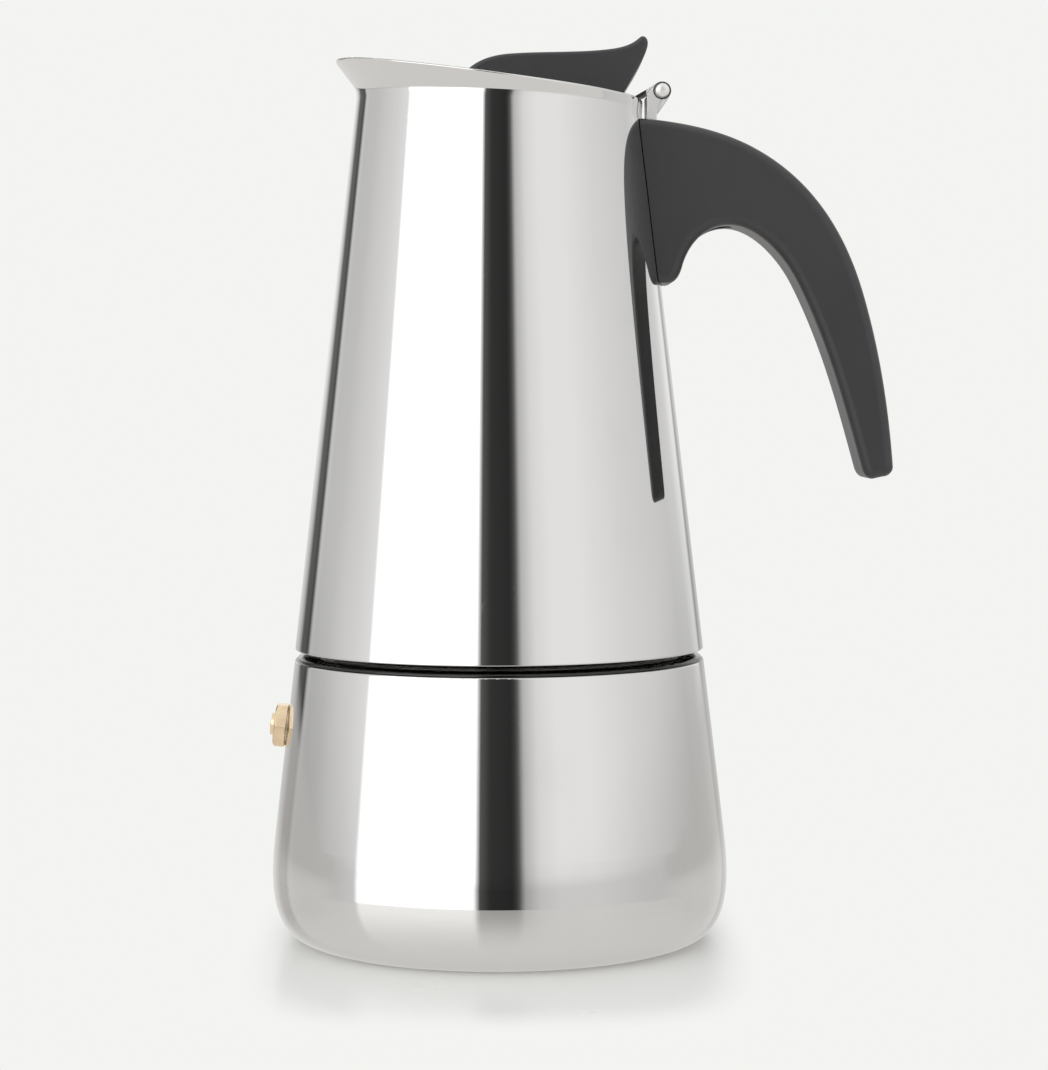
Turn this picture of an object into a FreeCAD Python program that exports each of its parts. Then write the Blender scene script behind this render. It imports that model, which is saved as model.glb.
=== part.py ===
import FreeCAD, Part
import os
import re
import Sketcher
from FreeCAD import Placement, Rotation, Vector

# Stovetop moka pot. Millimetres, +Z up, origin at the middle of the base underside.
# The handle and the lid hinge are on +X, the pouring spout and the safety valve on -X.

SIZES = {
    # water chamber
    "foot_radius": 41.8,
    "foot_corner_run": 5.9,
    "foot_corner_rise": 7.9,
    "belly_radius": 50.0,
    "belly_level": 14.0,
    "belly_blend": 3.0,
    "flare_level": 23.0,
    "flare_draw": 0.65,
    "shoulder_radius": 44.99,
    "shoulder_level": 60.8,
    "boiler_wall": 1.0,
    "shoulder_bead": 0.5,
    "shoulder_rise": 1.3,
    "shoulder_draw": 3.6,
    "neck_fillet": 1.0,
    "neck_radius": 37.5,
    "neck_level": 73.0,
    # safety valve, square to the sloping wall
    "valve_level": 45.8,
    "washer_thick": 0.3,
    "washer_radius": 4.4,
    "washer_wrap": 0.3,
    "hex_flats": 9.0,
    "hex_thick": 2.6,
    "hex_bevel": 0.2,
    "boss_radius": 2.4,
    "boss_length": 0.8,
    "shank_radius": 3.5,
    "shank_length": 8.5,
    "seat_thick": 1.3,
    "seat_hole_radius": 1.5,
    "chamber_radius": 2.6,
    "end_wall": 1.5,
    "pin_radius": 1.1,
    "pin_gap": 0.06,
    "pin_head_radius": 2.4,
    "pin_head_length": 1.2,
    "pin_proud": 0.15,
    "spring_wire": 0.5,
    "spring_turns": 6.0,
    "nut_flats": 11.0,
    "nut_thick": 3.0,
    "nut_gap": 0.6,
    "thread_gap": 0.05,
    # coffee funnel
    "sheet_thick": 0.8,
    "flange_radius": 37.2,
    "cup_gap": 0.4,
    "cup_depth": 22.0,
    "cup_ledge": 2.0,
    "cup_cone": 8.0,
    "stem_radius": 4.75,
    "stem_wall": 0.7,
    "stem_end_level": 7.0,
    "plate_thick": 0.8,
    "plate_hole_radius": 1.0,
    "plate_hole_pitch": 7.0,
    "plate_gap": 0.15,
    # seal and upper filter
    "gasket_thick": 3.0,
    "gasket_radius": 37.3,
    "gasket_bore": 30.5,
    "filter_gap": 0.05,
    "filter_lift": 0.4,
    "filter_rim": 2.4,
    # jug
    "jug_foot_level": 63.0,
    "jug_foot_radius": 44.95,
    "jug_taper": 0.1125,
    "jug_wall": 0.9,
    "crease_level": 183.0,
    "crease_tilt": 5.1,
    "lip_rise": 6.9,
    "lip_tilt": 7.35,
    "lip_centre": -2.8,
    "lip_half_length": 35.2,
    "lip_half_width": 33.4,
    "spout_reach": 36.3,
    "spout_rise": 9.5,
    "spout_curve": 22.0,
    "spout_slope": 12.0,
    "rim_rear_reach": 31.9,
    "rim_rear_rise": 0.4,
    "rim_rear_curve": 22.0,
    "rim_rear_slope": 3.0,
    "floor_thick": 1.2,
    "floor_ledge": 0.7,
    "floor_gap": 0.03,
    "collar_gap": 0.08,
    "collar_wall": 2.2,
    "collar_foot_level": 64.6,
    # rising column
    "column_foot_radius": 16.0,
    "column_brim": 2.4,
    "column_foot_curve": 3.0,
    "column_foot_lean": 120.0,
    "column_foot_rise": 18.0,
    "column_waist_curve": 8.0,
    "column_waist_lean": 88.0,
    "column_radius": 6.0,
    "column_tip_radius": 5.0,
    "column_wall": 0.9,
    "column_level": 150.0,
    "cap_gap": 0.1,
    "cap_wall": 0.8,
    "cap_grip": 7.0,
    "cap_rise": 7.4,
    "cap_slot_width": 5.0,
    "cap_slot_lift": 0.4,
    "cap_slot_rise": 4.6,
    "cap_shoulder": 1.1,
    "cap_crown": 3.0,
    # lid hinge
    "hinge_reach": 36.0,
    "hinge_rise": 2.3,
    "hinge_pin_radius": 1.25,
    "hinge_gap": 0.06,
    "knuckle_wall": 0.7,
    "strap_width": 9.6,
    "strap_rise": 30.0,
    "strap_run": 8.0,
    "strap_foot_rise": 15.5,
    "strap_foot": 6.5,
    "ear_gap": 0.2,
    "ear_thick": 1.1,
    "ear_depth": 2.6,
    "ear_clear": 1.0,
    "ear_step": 0.6,
    "ear_front_turn": 32.0,
    "ear_back_turn": 127.0,
    "rivet_radius": 1.6,
    "rivet_length": 0.7,
    # bracket on the jug
    "bracket_foot_drop": 32.0,
    "web_thick": 1.1,
    "web_drop": 7.0,
    "ear_reach": 32.7,
    "tongue_drop": 19.0,
    "tongue_thick": 1.6,
    "tongue_end": 5.0,
    "tongue_width": 10.0,
    # handle
    "handle_width": 17.6,
    "handle_edge": 2.0,
    "handle_wall_gap": 0.12,
    "handle_slot_gap": 0.15,
    "handle_root_reach": 30.0,
    "handle_top_drop": 3.8,
    "root_curve": 8.5,
    "root_slope": 4.0,
    "bend_reach": 55.0,
    "bend_drop": 9.8,
    "bend_slope": 27.0,
    "bend_curve": 14.8,
    "grip_reach": 79.9,
    "grip_drop": 42.4,
    "grip_slope": 74.0,
    "grip_curve": 13.0,
    "handle_end_reach": 86.25,
    "handle_sole_drop": 82.4,
    "handle_end_thick": 6.8,
    "handle_end_drop": 0.5,
    "handle_end_round": 2.3,
    "hip_lean": 94.0,
    "heel_lean": 105.0,
    "heel_curve": 14.0,
    "palm_reach": 65.3,
    "palm_drop": 39.5,
    "palm_lean": 117.0,
    "palm_curve": 15.0,
    "palm_top_curve": 6.2,
    "arch_reach": 50.6,
    "arch_drop": 27.3,
    "arch_curve": 6.0,
    "arch_back_curve": 5.2,
    "tail_reach": 40.2,
    "tail_drop": 36.4,
    "tail_lean": 75.0,
    "tail_curve": 5.4,
    "tail_round": 3.2,
    "tail_end_drop": 40.0,
    "screw_reach": 48.0,
    "screw_radius": 2.0,
    "screw_head_radius": 3.6,
    "screw_head_length": 2.4,
    "screw_seat_drop": 23.5,
    "screw_length": 8.0,
    "screw_gap": 0.1,
    # lid
    "lid_gap": 0.35,
    "lid_centre": 0.1,
    "lid_seat": 1.25,
    "lid_sheet": 0.7,
    "lid_dome": 2.6,
    "dome_crown_run": 15.0,
    "dome_edge_run": 9.0,
    "dome_edge_lean": 168.0,
    "lid_skirt": 1.6,
    "lid_brow_round": 0.6,
    # knob
    "knob_width": 17.0,
    "knob_edge": 0.9,
    "knob_front": -9.5,
    "knob_nose_curve": 6.0,
    "knob_nose_lean": 88.0,
    "knob_brow_reach": 2.1,
    "knob_brow_rise": 10.2,
    "knob_brow_curve": 7.0,
    "knob_brow_lean": 5.0,
    "knob_sweep_reach": 24.5,
    "knob_sweep_rise": 11.2,
    "knob_sweep_curve": 7.0,
    "knob_sweep_lean": 7.0,
    "knob_tip_reach": 31.0,
    "knob_tip_rise": 13.7,
    "knob_tip_curve": 1.9,
    "knob_tip_lean": 42.0,
    "knob_lip_back": 1.8,
    "knob_lip_drop": 1.1,
    "knob_lip_curve": 1.1,
    "knob_lip_lean": 92.0,
    "knob_back_reach": 25.8,
    "knob_back_curve": 5.6,
    "knob_back_lean": 60.0,
    "knob_lid_gap": 0.05,
    "knob_strap_gap": 0.15,
    "knob_screw_radius": 1.5,
    "knob_screw_head_radius": 3.0,
    "knob_screw_head_length": 1.5,
    "knob_screw_length": 4.5,
}

# Places that are measured from another size, so that they go along with it.
PLACES = {
    "lip_level": "crease_level + lip_rise",
    "spout_level": "crease_level + spout_rise",
    "rim_rear_level": "crease_level + rim_rear_rise",
    "hinge_level": "crease_level + hinge_rise",
    "bracket_foot_level": "crease_level - bracket_foot_drop",
    "web_level": "crease_level - web_drop",
    "tongue_level": "crease_level - tongue_drop",
    "tongue_reach": "screw_reach + tongue_end",
    "bend_level": "crease_level - bend_drop",
    "grip_level": "crease_level - grip_drop",
    "handle_end_level": "crease_level - handle_sole_drop",
    "palm_level": "crease_level - palm_drop",
    "arch_level": "crease_level - arch_drop",
    "tail_level": "crease_level - tail_drop",
    "tail_end_level": "crease_level - tail_end_drop",
    "screw_seat_level": "crease_level - screw_seat_drop",
    "knob_brow_level": "crease_level + knob_brow_rise",
    "knob_sweep_level": "crease_level + knob_sweep_rise",
    "knob_tip_level": "crease_level + knob_tip_rise",
    "handle_top_level": "crease_level - handle_top_drop",
    "flare_radius": "belly_radius - flare_draw",
}

TURN = 360.0
HAIR = 0.02
# How far a cutter runs past the face that it cuts, and how far a pad or a cutter starts inside the
# piece that it is trimmed to afterwards.
PAST = "boiler_wall"
DEEP = "(8 * boiler_wall)"
# Handle of a Bezier quarter circle, as a share of its radius.
ARC = "0.55"
PLATE_RINGS = 3

doc = FreeCAD.newDocument("MokaPot")
sheet = doc.addObject("Spreadsheet::Sheet", "Sizes")
for row, (alias, number) in enumerate(SIZES.items(), start=1):
    sheet.set(f"A{row}", str(number))
    sheet.setAlias(f"A{row}", alias)
doc.recompute()

PARTS = []


def bound(text):
    """Write a formula in the sheet's words: places as their own formulas, sizes led by the sheet's name."""
    def worded(found):
        word = found.group(0)
        return f"({bound(PLACES[word])})" if word in PLACES else f"Sizes.{word}"

    return re.sub(r"[a-z]+(_[a-z]+)+", worded, text)


def size(text):
    """The number that a formula in the sheet's words gives now."""
    return float(sheet.evalExpression(bound(text)))


def body(name):
    """A new named sub-part."""
    new = doc.addObject("PartDesign::Body", name)
    new.Label = name
    PARTS.append(new)
    return new


def plane(owner, role):
    """One of the body's own origin planes."""
    return [item for item in owner.Origin.OriginFeatures if item.Role == role][0]


def sketch_on(owner, name, role):
    """An empty sketch on an origin plane of its body."""
    sketch = owner.newObject("Sketcher::SketchObject", name)
    sketch.AttachmentSupport = [(plane(owner, role), "")]
    sketch.MapMode = "FlatFace"
    return sketch


def offset_sketch(sketch, base, axis, angle):
    """Move and turn a sketch from its plane by formulas."""
    sketch.AttachmentOffset = Placement(Vector(), Rotation(axis, size(angle)))
    for letter, text in zip("xyz", base):
        sketch.setExpression(f"AttachmentOffset.Base.{letter}", bound(text))
    sketch.setExpression("AttachmentOffset.Rotation.Angle", bound(angle))


def pin_point(sketch, geometry, end, spot):
    """Tie one point of a sketch to formulas for its two distances."""
    for kind, text in (("DistanceX", spot[0]), ("DistanceY", spot[1])):
        index = sketch.addConstraint(
            Sketcher.Constraint(kind, -1, 1, geometry, end, size(text)))
        sketch.setExpression(f"Constraints[{index}]", bound(text))


def outline(sketch, runs):
    """Draw a closed outline: a run of two points is straight, a longer one a Bezier curve."""
    edges = []
    for run in runs:
        points = [Vector(size(spot[0]), size(spot[1]), 0) for spot in run]
        if len(points) == 2:
            edges.append(sketch.addGeometry(Part.LineSegment(*points), False))
            continue
        curve = Part.BSplineCurve()
        order = len(points)
        curve.buildFromPolesMultsKnots(points, [order, order], [0, 1], False, order - 1)
        edge = sketch.addGeometry(curve, False)
        edges.append(edge)
        sketch.exposeInternalGeometry(edge)
        for step, spot in enumerate(run[1:-1], start=2):
            pin_point(sketch, edge + step, 3, spot)
    for edge, following, run in zip(edges, edges[1:] + edges[:1], runs):
        sketch.addConstraint(Sketcher.Constraint("Coincident", edge, 2, following, 1))
        pin_point(sketch, edge, 1, run[0])


def polygon(spots):
    """The straight runs of a closed many-sided outline."""
    return list(zip(spots, spots[1:] + spots[:1]))


def circle(sketch, along, across, radius):
    """A circle whose middle and radius follow formulas."""
    middle = Vector(size(along), size(across), 0)
    edge = sketch.addGeometry(Part.Circle(middle, Vector(0, 0, 1), size(radius)), False)
    pin_point(sketch, edge, 3, (along, across))
    index = sketch.addConstraint(Sketcher.Constraint("Radius", edge, size(radius)))
    sketch.setExpression(f"Constraints[{index}]", bound(radius))


def ellipse(sketch, half_length, half_width):
    """An ellipse about the sketch's own origin, longest along its x axis."""
    shape = Part.Ellipse(Vector(), size(half_length), size(half_width))
    edge = sketch.addGeometry(shape, False)
    sketch.exposeInternalGeometry(edge)
    sketch.addConstraint(Sketcher.Constraint("Coincident", edge, 3, -1, 1))
    sketch.addConstraint(Sketcher.Constraint("Horizontal", edge + 1))
    for line, kind, text in ((edge + 1, "DistanceX", half_length), (edge + 2, "DistanceY", half_width)):
        ends = [sketch.getPoint(line, end) for end in (1, 2)]
        low = 1 if (ends[0].x + ends[0].y) < (ends[1].x + ends[1].y) else 2
        constraint = Sketcher.Constraint(kind, line, low, line, 3 - low, 2 * size(text))
        index = sketch.addConstraint(constraint)
        sketch.setExpression(f"Constraints[{index}]", f"2 * ({bound(text)})")


def turn(owner, name, sketch, kind="Revolution"):
    """Revolve a sketch about its own upright axis, to add or to groove."""
    feature = owner.newObject(f"PartDesign::{kind}", name)
    feature.Profile = sketch
    feature.ReferenceAxis = (sketch, ["V_Axis"])
    feature.Angle = TURN
    doc.recompute()
    return feature


def turned(name, runs):
    """A round sub-part: an outline in radius and height, revolved about the upright axis."""
    owner = body(name)
    sketch = sketch_on(owner, name + "_outline", "XZ_Plane")
    outline(sketch, runs)
    turn(owner, name + "_turned", sketch)
    return owner


def groove(owner, name, runs):
    """Turn a round cut about the upright axis."""
    sketch = sketch_on(owner, name + "_outline", "XZ_Plane")
    outline(sketch, runs)
    return turn(owner, name, sketch, "Groove")


def pad(owner, name, sketch, length):
    """Extrude a sketch to both sides by half of the length each."""
    feature = owner.newObject("PartDesign::Pad", name)
    feature.Profile = sketch
    feature.Midplane = True
    feature.setExpression("Length", bound(length))
    doc.recompute()
    return feature


def pocket(owner, name, sketch, length):
    """Cut a sketch to both sides by half of the length each, and be sure that it cut."""
    before = owner.Shape.Volume
    feature = owner.newObject("PartDesign::Pocket", name)
    feature.Profile = sketch
    feature.Midplane = True
    feature.setExpression("Length", bound(length))
    doc.recompute()
    if feature.Shape.isNull() or not feature.Shape.Volume < before:
        raise RuntimeError(f"{name} cuts nothing")
    return feature


def side_pad(owner, name, runs, width):
    """Extrude an outline drawn in the side view."""
    sketch = sketch_on(owner, name + "_outline", "XZ_Plane")
    outline(sketch, runs)
    return pad(owner, name, sketch, width)


def side_pocket(owner, name, runs, width):
    """Cut through an outline drawn in the side view."""
    sketch = sketch_on(owner, name + "_outline", "XZ_Plane")
    outline(sketch, runs)
    return pocket(owner, name, sketch, width)


def round_edges(owner, name, wanted, radius):
    """Fillet the edges of the body's last feature that the test picks."""
    last = owner.Tip
    picked = [f"Edge{count}" for count, edge in enumerate(last.Shape.Edges, start=1) if wanted(edge)]
    feature = owner.newObject("PartDesign::Fillet", name)
    feature.Base = (last, picked)
    feature.setExpression("Radius", bound(radius))
    doc.recompute()
    return feature


def box_runs(left, right, low, high):
    """A rectangle as straight runs, from formulas for its four sides."""
    return polygon([(left, low), (right, low), (right, high), (left, high)])


def axis_of(owner, role):
    """One of the body's own origin axes."""
    return [item for item in owner.Origin.OriginFeatures if item.Role == role][0]


def ring_holes(owner, name, low, high):
    """Drill rings of equal holes, six in the first ring and six more in each next one."""
    for ring in range(1, PLATE_RINGS + 1):
        sketch = sketch_on(owner, f"{name}_{ring}_outline", "XY_Plane")
        offset_sketch(sketch, ("0", "0", f"({low} + {high}) / 2"), Vector(0, 0, 1), "0")
        circle(sketch, f"plate_hole_pitch * {ring}", "0", "plate_hole_radius")
        drilled = pocket(owner, f"{name}_{ring}", sketch, f"2 * ({high} - ({low}))")
        repeat = owner.newObject("PartDesign::PolarPattern", f"{name}_{ring}_ring")
        repeat.Originals = [drilled]
        repeat.Axis = (axis_of(owner, "Z_Axis"), [""])
        repeat.Angle = TURN
        repeat.Occurrences = 6 * ring
        owner.Tip = repeat
        doc.recompute()


def lead(spot, length, angle):
    """A curve handle that leaves a spot by a length at an angle, so that both sides run on smoothly."""
    return (f"{spot[0]} + {length} * cos({angle})", f"{spot[1]} + {length} * sin({angle})")


def hexagon(flats):
    """Corners of a hexagon with flats square to the x axis."""
    corner = f"{flats} / 2 / cos(30)"
    return [(f"{corner} * cos({angle})", f"{corner} * sin({angle})") for angle in range(30, 360, 60)]


# ---------------------------------------------------------------- water chamber

WALL_SLOPE = "((flare_radius - shoulder_radius) / (shoulder_level - flare_level))"
WALL_LEAN = f"(atan({WALL_SLOPE}) / 1 deg)"


def boiler_runs(inset, top):
    """Half outline of the chamber, drawn inside itself by the inset."""
    foot = ("foot_radius", inset)
    belly = (f"belly_radius - {inset}", "belly_level")
    flare = (f"flare_radius - {inset}", "flare_level")
    wall_angle = f"(90 + {WALL_LEAN})"
    brow = (f"shoulder_radius - {inset}", f"shoulder_level - {inset}")
    shoulder = lead(brow, "shoulder_bead", f"{wall_angle} + 180")
    bead = (f"{brow[0]} - shoulder_bead", brow[1])
    crown = (f"{bead[0]} - shoulder_draw", f"{bead[1]} + shoulder_rise")
    root = (f"neck_radius - {inset} + neck_fillet", crown[1])
    neck = (f"neck_radius - {inset}", f"{root[1]} + neck_fillet")
    return [
        [("0", inset), foot],
        [foot, lead(foot, "foot_corner_run", "0"), lead(belly, "foot_corner_rise", "-90"), belly],
        [belly, lead(belly, "belly_blend", "90"), lead(flare, "belly_blend", f"{wall_angle} + 180"), flare],
        [flare, shoulder],
        [shoulder, lead(shoulder, f"shoulder_bead * {ARC}", wall_angle),
         (f"{bead[0]} + shoulder_bead * {ARC}", bead[1]), bead],
        [bead, (bead[0], f"{bead[1]} + shoulder_rise * {ARC}"),
         (f"{crown[0]} + shoulder_draw * {ARC}", crown[1]), crown],
        [crown, root],
        [root, (f"{root[0]} - neck_fillet * {ARC}", root[1]),
         (neck[0], f"{neck[1]} - neck_fillet * {ARC}"), neck],
        [neck, (neck[0], top)],
        [(neck[0], top), ("0", top)],
        [("0", top), ("0", inset)],
    ]


def wall_radius(level):
    """Outer radius of the chamber's sloping wall at a height."""
    return f"(flare_radius - {WALL_SLOPE} * ({level} - flare_level))"


def boiler_shell():
    """Pressed steel water chamber with its shoulder and neck, and the valve hole."""
    shell = turned("boiler_shell", boiler_runs("0", "neck_level"))
    groove(shell, "boiler_inside", boiler_runs("boiler_wall", f"neck_level + {PAST}"))
    sketch = sketch_on(shell, "valve_hole_outline", "YZ_Plane")
    out = ("0", "valve_level", f"-{wall_radius('valve_level')}")
    offset_sketch(sketch, out, Vector(1, 0, 0), WALL_LEAN)
    circle(sketch, "0", "0", "shank_radius + thread_gap")
    pocket(shell, "valve_hole", sketch, "shank_length")


# ---------------------------------------------------------------- safety valve
# Each valve piece stands on its own z axis, which points out of the wall, with 0 at the wall's outside.

def seat_on_wall(piece):
    """Put a valve piece on the chamber wall, its own z axis square to the wall."""
    piece.Placement = Placement(Vector(), Rotation(Vector(0, 1, 0), -TURN / 4))
    piece.setExpression("Placement.Base.x", bound(f"-{wall_radius('valve_level')}"))
    piece.setExpression("Placement.Base.z", bound("valve_level"))
    piece.setExpression("Placement.Rotation.Angle", bound(f"{WALL_LEAN} - 90"))
    doc.recompute()


def hex_pad(owner, name, flats, low, thick):
    """A six-sided block from a height up by its thickness."""
    sketch = sketch_on(owner, name + "_outline", "XY_Plane")
    offset_sketch(sketch, ("0", "0", f"{low} + {thick} / 2"), Vector(0, 0, 1), "0")
    outline(sketch, polygon(hexagon(flats)))
    return pad(owner, name, sketch, thick)


BOSS_END = "(washer_thick + hex_thick + boss_length)"


def valve_body():
    """Brass hexagon, outer boss and threaded shank, bored for the pin and its spring."""
    valve = body("valve_body")
    hex_pad(valve, "valve_hex", "hex_flats", "washer_thick", "hex_thick")
    for name, radius, low, high in (
            ("valve_shank", "shank_radius", "-shank_length", "washer_thick"),
            ("valve_boss", "boss_radius", "washer_thick", BOSS_END)):
        sketch = sketch_on(valve, name + "_outline", "XZ_Plane")
        outline(sketch, box_runs("0", radius, low, high))
        turn(valve, name, sketch)
    face, waist = "(washer_thick + hex_thick)", "(hex_flats / 2 - hex_bevel)"
    groove(valve, "valve_bevel", polygon([
        (waist, face), (f"{waist} + {PAST}", face), (f"{waist} + {PAST}", f"{face} - {PAST} * tan(30)")]))
    inner, outer = "(seat_thick - shank_length)", f"({BOSS_END} - end_wall)"
    groove(valve, "valve_chamber", box_runs("0", "chamber_radius", inner, outer))
    groove(valve, "valve_seat_hole", box_runs("0", "seat_hole_radius", f"-shank_length - {PAST}", inner))
    groove(valve, "valve_pin_hole", box_runs("0", "pin_radius + pin_gap", outer, f"{BOSS_END} + {PAST}"))
    seat_on_wall(valve)


def valve_washer():
    """Fibre washer between hexagon and wall, pressed to the wall's curve on its inner side."""
    washer = turned("valve_washer", box_runs(
        "shank_radius + thread_gap", "washer_radius", "-washer_wrap", "washer_thick"))
    sketch = sketch_on(washer, "wall_curve_outline", "YZ_Plane")
    curve = f"({wall_radius('valve_level')} / cos({WALL_LEAN}))"
    circle(sketch, "0", f"floor_gap - {curve}", curve)
    pocket(washer, "wall_curve", sketch, "4 * washer_radius")
    seat_on_wall(washer)


def valve_nut():
    """Nut that pulls the valve tight from inside the chamber."""
    nut = body("valve_nut")
    hex_pad(nut, "nut_hex", "nut_flats", "-(boiler_wall + nut_gap + nut_thick)", "nut_thick")
    groove(nut, "nut_bore", box_runs("0", "shank_radius + thread_gap", f"-shank_length - {PAST}", "0"))
    seat_on_wall(nut)


def valve_pin():
    """Poppet: its head shuts the seat hole and its stem shows in the boss."""
    head = "(seat_thick - shank_length + pin_head_length)"
    pin = turned("valve_pin", polygon([
        ("0", "seat_thick - shank_length"), ("pin_head_radius", "seat_thick - shank_length"),
        ("pin_head_radius", head), ("pin_radius", head),
        ("pin_radius", f"{BOSS_END} + pin_proud"), ("0", f"{BOSS_END} + pin_proud")]))
    seat_on_wall(pin)


def valve_spring():
    """Coil spring between the poppet's head and the outer end of its chamber."""
    spring = body("valve_spring")
    low = "seat_thick - shank_length + pin_head_length + spring_wire / 2 + pin_gap"
    high = f"{BOSS_END} - end_wall - spring_wire / 2 - pin_gap"
    sketch = sketch_on(spring, "wire_outline", "XZ_Plane")
    circle(sketch, "(pin_radius + chamber_radius) / 2", low, "spring_wire / 2")
    coil = spring.newObject("PartDesign::AdditiveHelix", "coil")
    coil.Profile = sketch
    coil.ReferenceAxis = (sketch, ["V_Axis"])
    coil.Mode = "height-turns-angle"
    coil.setExpression("Height", bound(f"{high} - ({low})"))
    coil.setExpression("Turns", bound("spring_turns"))
    doc.recompute()
    seat_on_wall(spring)


# ---------------------------------------------------------------- coffee funnel

CUP_OUTSIDE = "(neck_radius - boiler_wall - cup_gap)"
CUP_INSIDE = "(neck_radius - boiler_wall - cup_gap - sheet_thick)"
CUP_FLOOR = "(neck_level - cup_depth)"
SEAL_LEVEL = "(neck_level + sheet_thick)"


def funnel_cup():
    """Coffee basket with its flange on the neck, a ledge for the plate and a cone to the stem."""
    throat = f"({CUP_FLOOR} - cup_cone)"
    turned("funnel_cup", polygon([
        ("flange_radius", "neck_level"), ("flange_radius", SEAL_LEVEL), (CUP_INSIDE, SEAL_LEVEL),
        (CUP_INSIDE, CUP_FLOOR), (f"{CUP_INSIDE} - cup_ledge", CUP_FLOOR),
        ("stem_radius + thread_gap", throat), ("stem_radius + thread_gap", f"{throat} - sheet_thick"),
        (f"{CUP_OUTSIDE} - cup_ledge", f"{CUP_FLOOR} - sheet_thick"),
        (CUP_OUTSIDE, f"{CUP_FLOOR} - sheet_thick"), (CUP_OUTSIDE, "neck_level")]))


def funnel_stem():
    """Tube from the basket down into the water."""
    turned("funnel_stem", box_runs(
        "stem_radius - stem_wall", "stem_radius", "stem_end_level", f"{CUP_FLOOR} - cup_cone"))


def funnel_plate():
    """Perforated plate that the coffee lies on."""
    high = f"({CUP_FLOOR} + plate_thick)"
    disc = turned("funnel_plate", box_runs("0", f"{CUP_INSIDE} - plate_gap", CUP_FLOOR, high))
    ring_holes(disc, "coffee_holes", CUP_FLOOR, high)


# ---------------------------------------------------------------- seal and upper filter

def gasket():
    """Silicone ring pressed between the funnel's flange and the jug's floor."""
    turned("gasket", box_runs(
        "gasket_bore", "gasket_radius", SEAL_LEVEL, f"{SEAL_LEVEL} + gasket_thick"))


def filter_plate():
    """Dished perforated plate that sits in the gasket's bore."""
    edge = "(gasket_bore - filter_gap)"
    low = f"({SEAL_LEVEL} + filter_lift)"
    dish = turned("filter_plate", polygon([
        ("0", low), (edge, low), (edge, f"{low} + filter_rim"),
        (f"{edge} - plate_thick", f"{low} + filter_rim"), (f"{edge} - plate_thick", f"{low} + plate_thick"),
        ("0", f"{low} + plate_thick")]))
    ring_holes(dish, "filter_holes", low, f"({low} + plate_thick)")


# ---------------------------------------------------------------- jug

FLOOR_LOW = "(neck_level + sheet_thick + gasket_thick)"
FLOOR_HIGH = "(neck_level + sheet_thick + gasket_thick + floor_thick)"
TILT = "tan(crease_tilt)"
COLUMN_FOOT = "(column_foot_radius - column_brim)"


def jug_radius(level):
    """Outer radius of the jug's cone at a height."""
    return f"(jug_foot_radius - jug_taper * ({level} - jug_foot_level))"


def jug_section(owner, name, inset, along, level, tilt, half_length, half_width):
    """One loft section of the jug: an ellipse in a plane that tilts down towards the hinge."""
    sketch = sketch_on(owner, name, "XY_Plane")
    offset_sketch(sketch, (along, "0", level), Vector(0, 1, 0), tilt)
    ellipse(sketch, f"{half_length} - {inset}", f"{half_width} - {inset}")
    return sketch


def jug_loft(owner, name, kind, inset):
    """Straight-lined loft from the foot over the crease to above the lip."""
    crease = jug_radius("crease_level")
    rear = f"({crease} / (1 - jug_taper * {TILT}))"
    front = f"({crease} / (1 + jug_taper * {TILT}))"
    middle = f"(({rear} - {front}) / 2)"
    half_width = f"sqrt(({crease} + jug_taper * {TILT} * {middle})^2 - {middle}^2)"
    foot = sketch_on(owner, name + "_foot", "XY_Plane")
    offset_sketch(foot, ("0", "0", "jug_foot_level"), Vector(0, 1, 0), "0")
    circle(foot, "0", "0", f"jug_foot_radius - {inset}")
    bend = jug_section(owner, name + "_crease", inset, middle, f"crease_level - {TILT} * {middle}",
                       "crease_tilt", f"({rear} + {front}) / 2 / cos(crease_tilt)", half_width)
    lip = jug_section(owner, name + "_lip", inset, "lip_centre", "lip_level", "lip_tilt",
                      "lip_half_length", "lip_half_width")
    feature = owner.newObject(kind, name)
    feature.Profile = foot
    feature.Sections = [bend, lip]
    feature.Ruled = True
    doc.recompute()


def jug_shell():
    """Tapered steel jug whose rim flares towards the spout, trimmed on a curve in the side view."""
    shell = body("jug_shell")
    jug_loft(shell, "jug_outside", "PartDesign::AdditiveLoft", "0")
    jug_loft(shell, "jug_inside", "PartDesign::SubtractiveLoft", "jug_wall")
    front, rear = ("-spout_reach", "spout_level"), ("rim_rear_reach", "rim_rear_level")
    beyond_front = lead(front, DEEP, "180 - spout_slope")
    beyond_rear = lead(rear, DEEP, "-rim_rear_slope")
    above = f"spout_level + 2 * {DEEP}"
    side_pocket(shell, "rim_trim", [
        [beyond_front, front],
        [front, lead(front, "spout_curve", "-spout_slope"),
         lead(rear, "rim_rear_curve", "180 - rim_rear_slope"), rear],
        [rear, beyond_rear],
        [beyond_rear, (beyond_rear[0], above)],
        [(beyond_rear[0], above), (beyond_front[0], above)],
        [(beyond_front[0], above), beyond_front]], "3 * jug_foot_radius")


def jug_floor():
    """Floor welded inside the jug, open in the middle for the column."""
    low = f"({jug_radius(FLOOR_LOW)} - jug_wall - floor_gap)"
    high = f"({jug_radius(FLOOR_HIGH)} - jug_wall - floor_gap)"
    bore = f"({COLUMN_FOOT} - column_wall - floor_ledge)"
    turned("jug_floor", polygon([
        (bore, FLOOR_LOW), (low, FLOOR_LOW), (high, FLOOR_HIGH), (bore, FLOOR_HIGH)]))


def thread_collar():
    """Collar under the floor that screws on to the chamber's neck."""
    bore = "neck_radius + collar_gap"
    turned("thread_collar", box_runs(bore, f"{bore} + collar_wall", "collar_foot_level", FLOOR_LOW))


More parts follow.
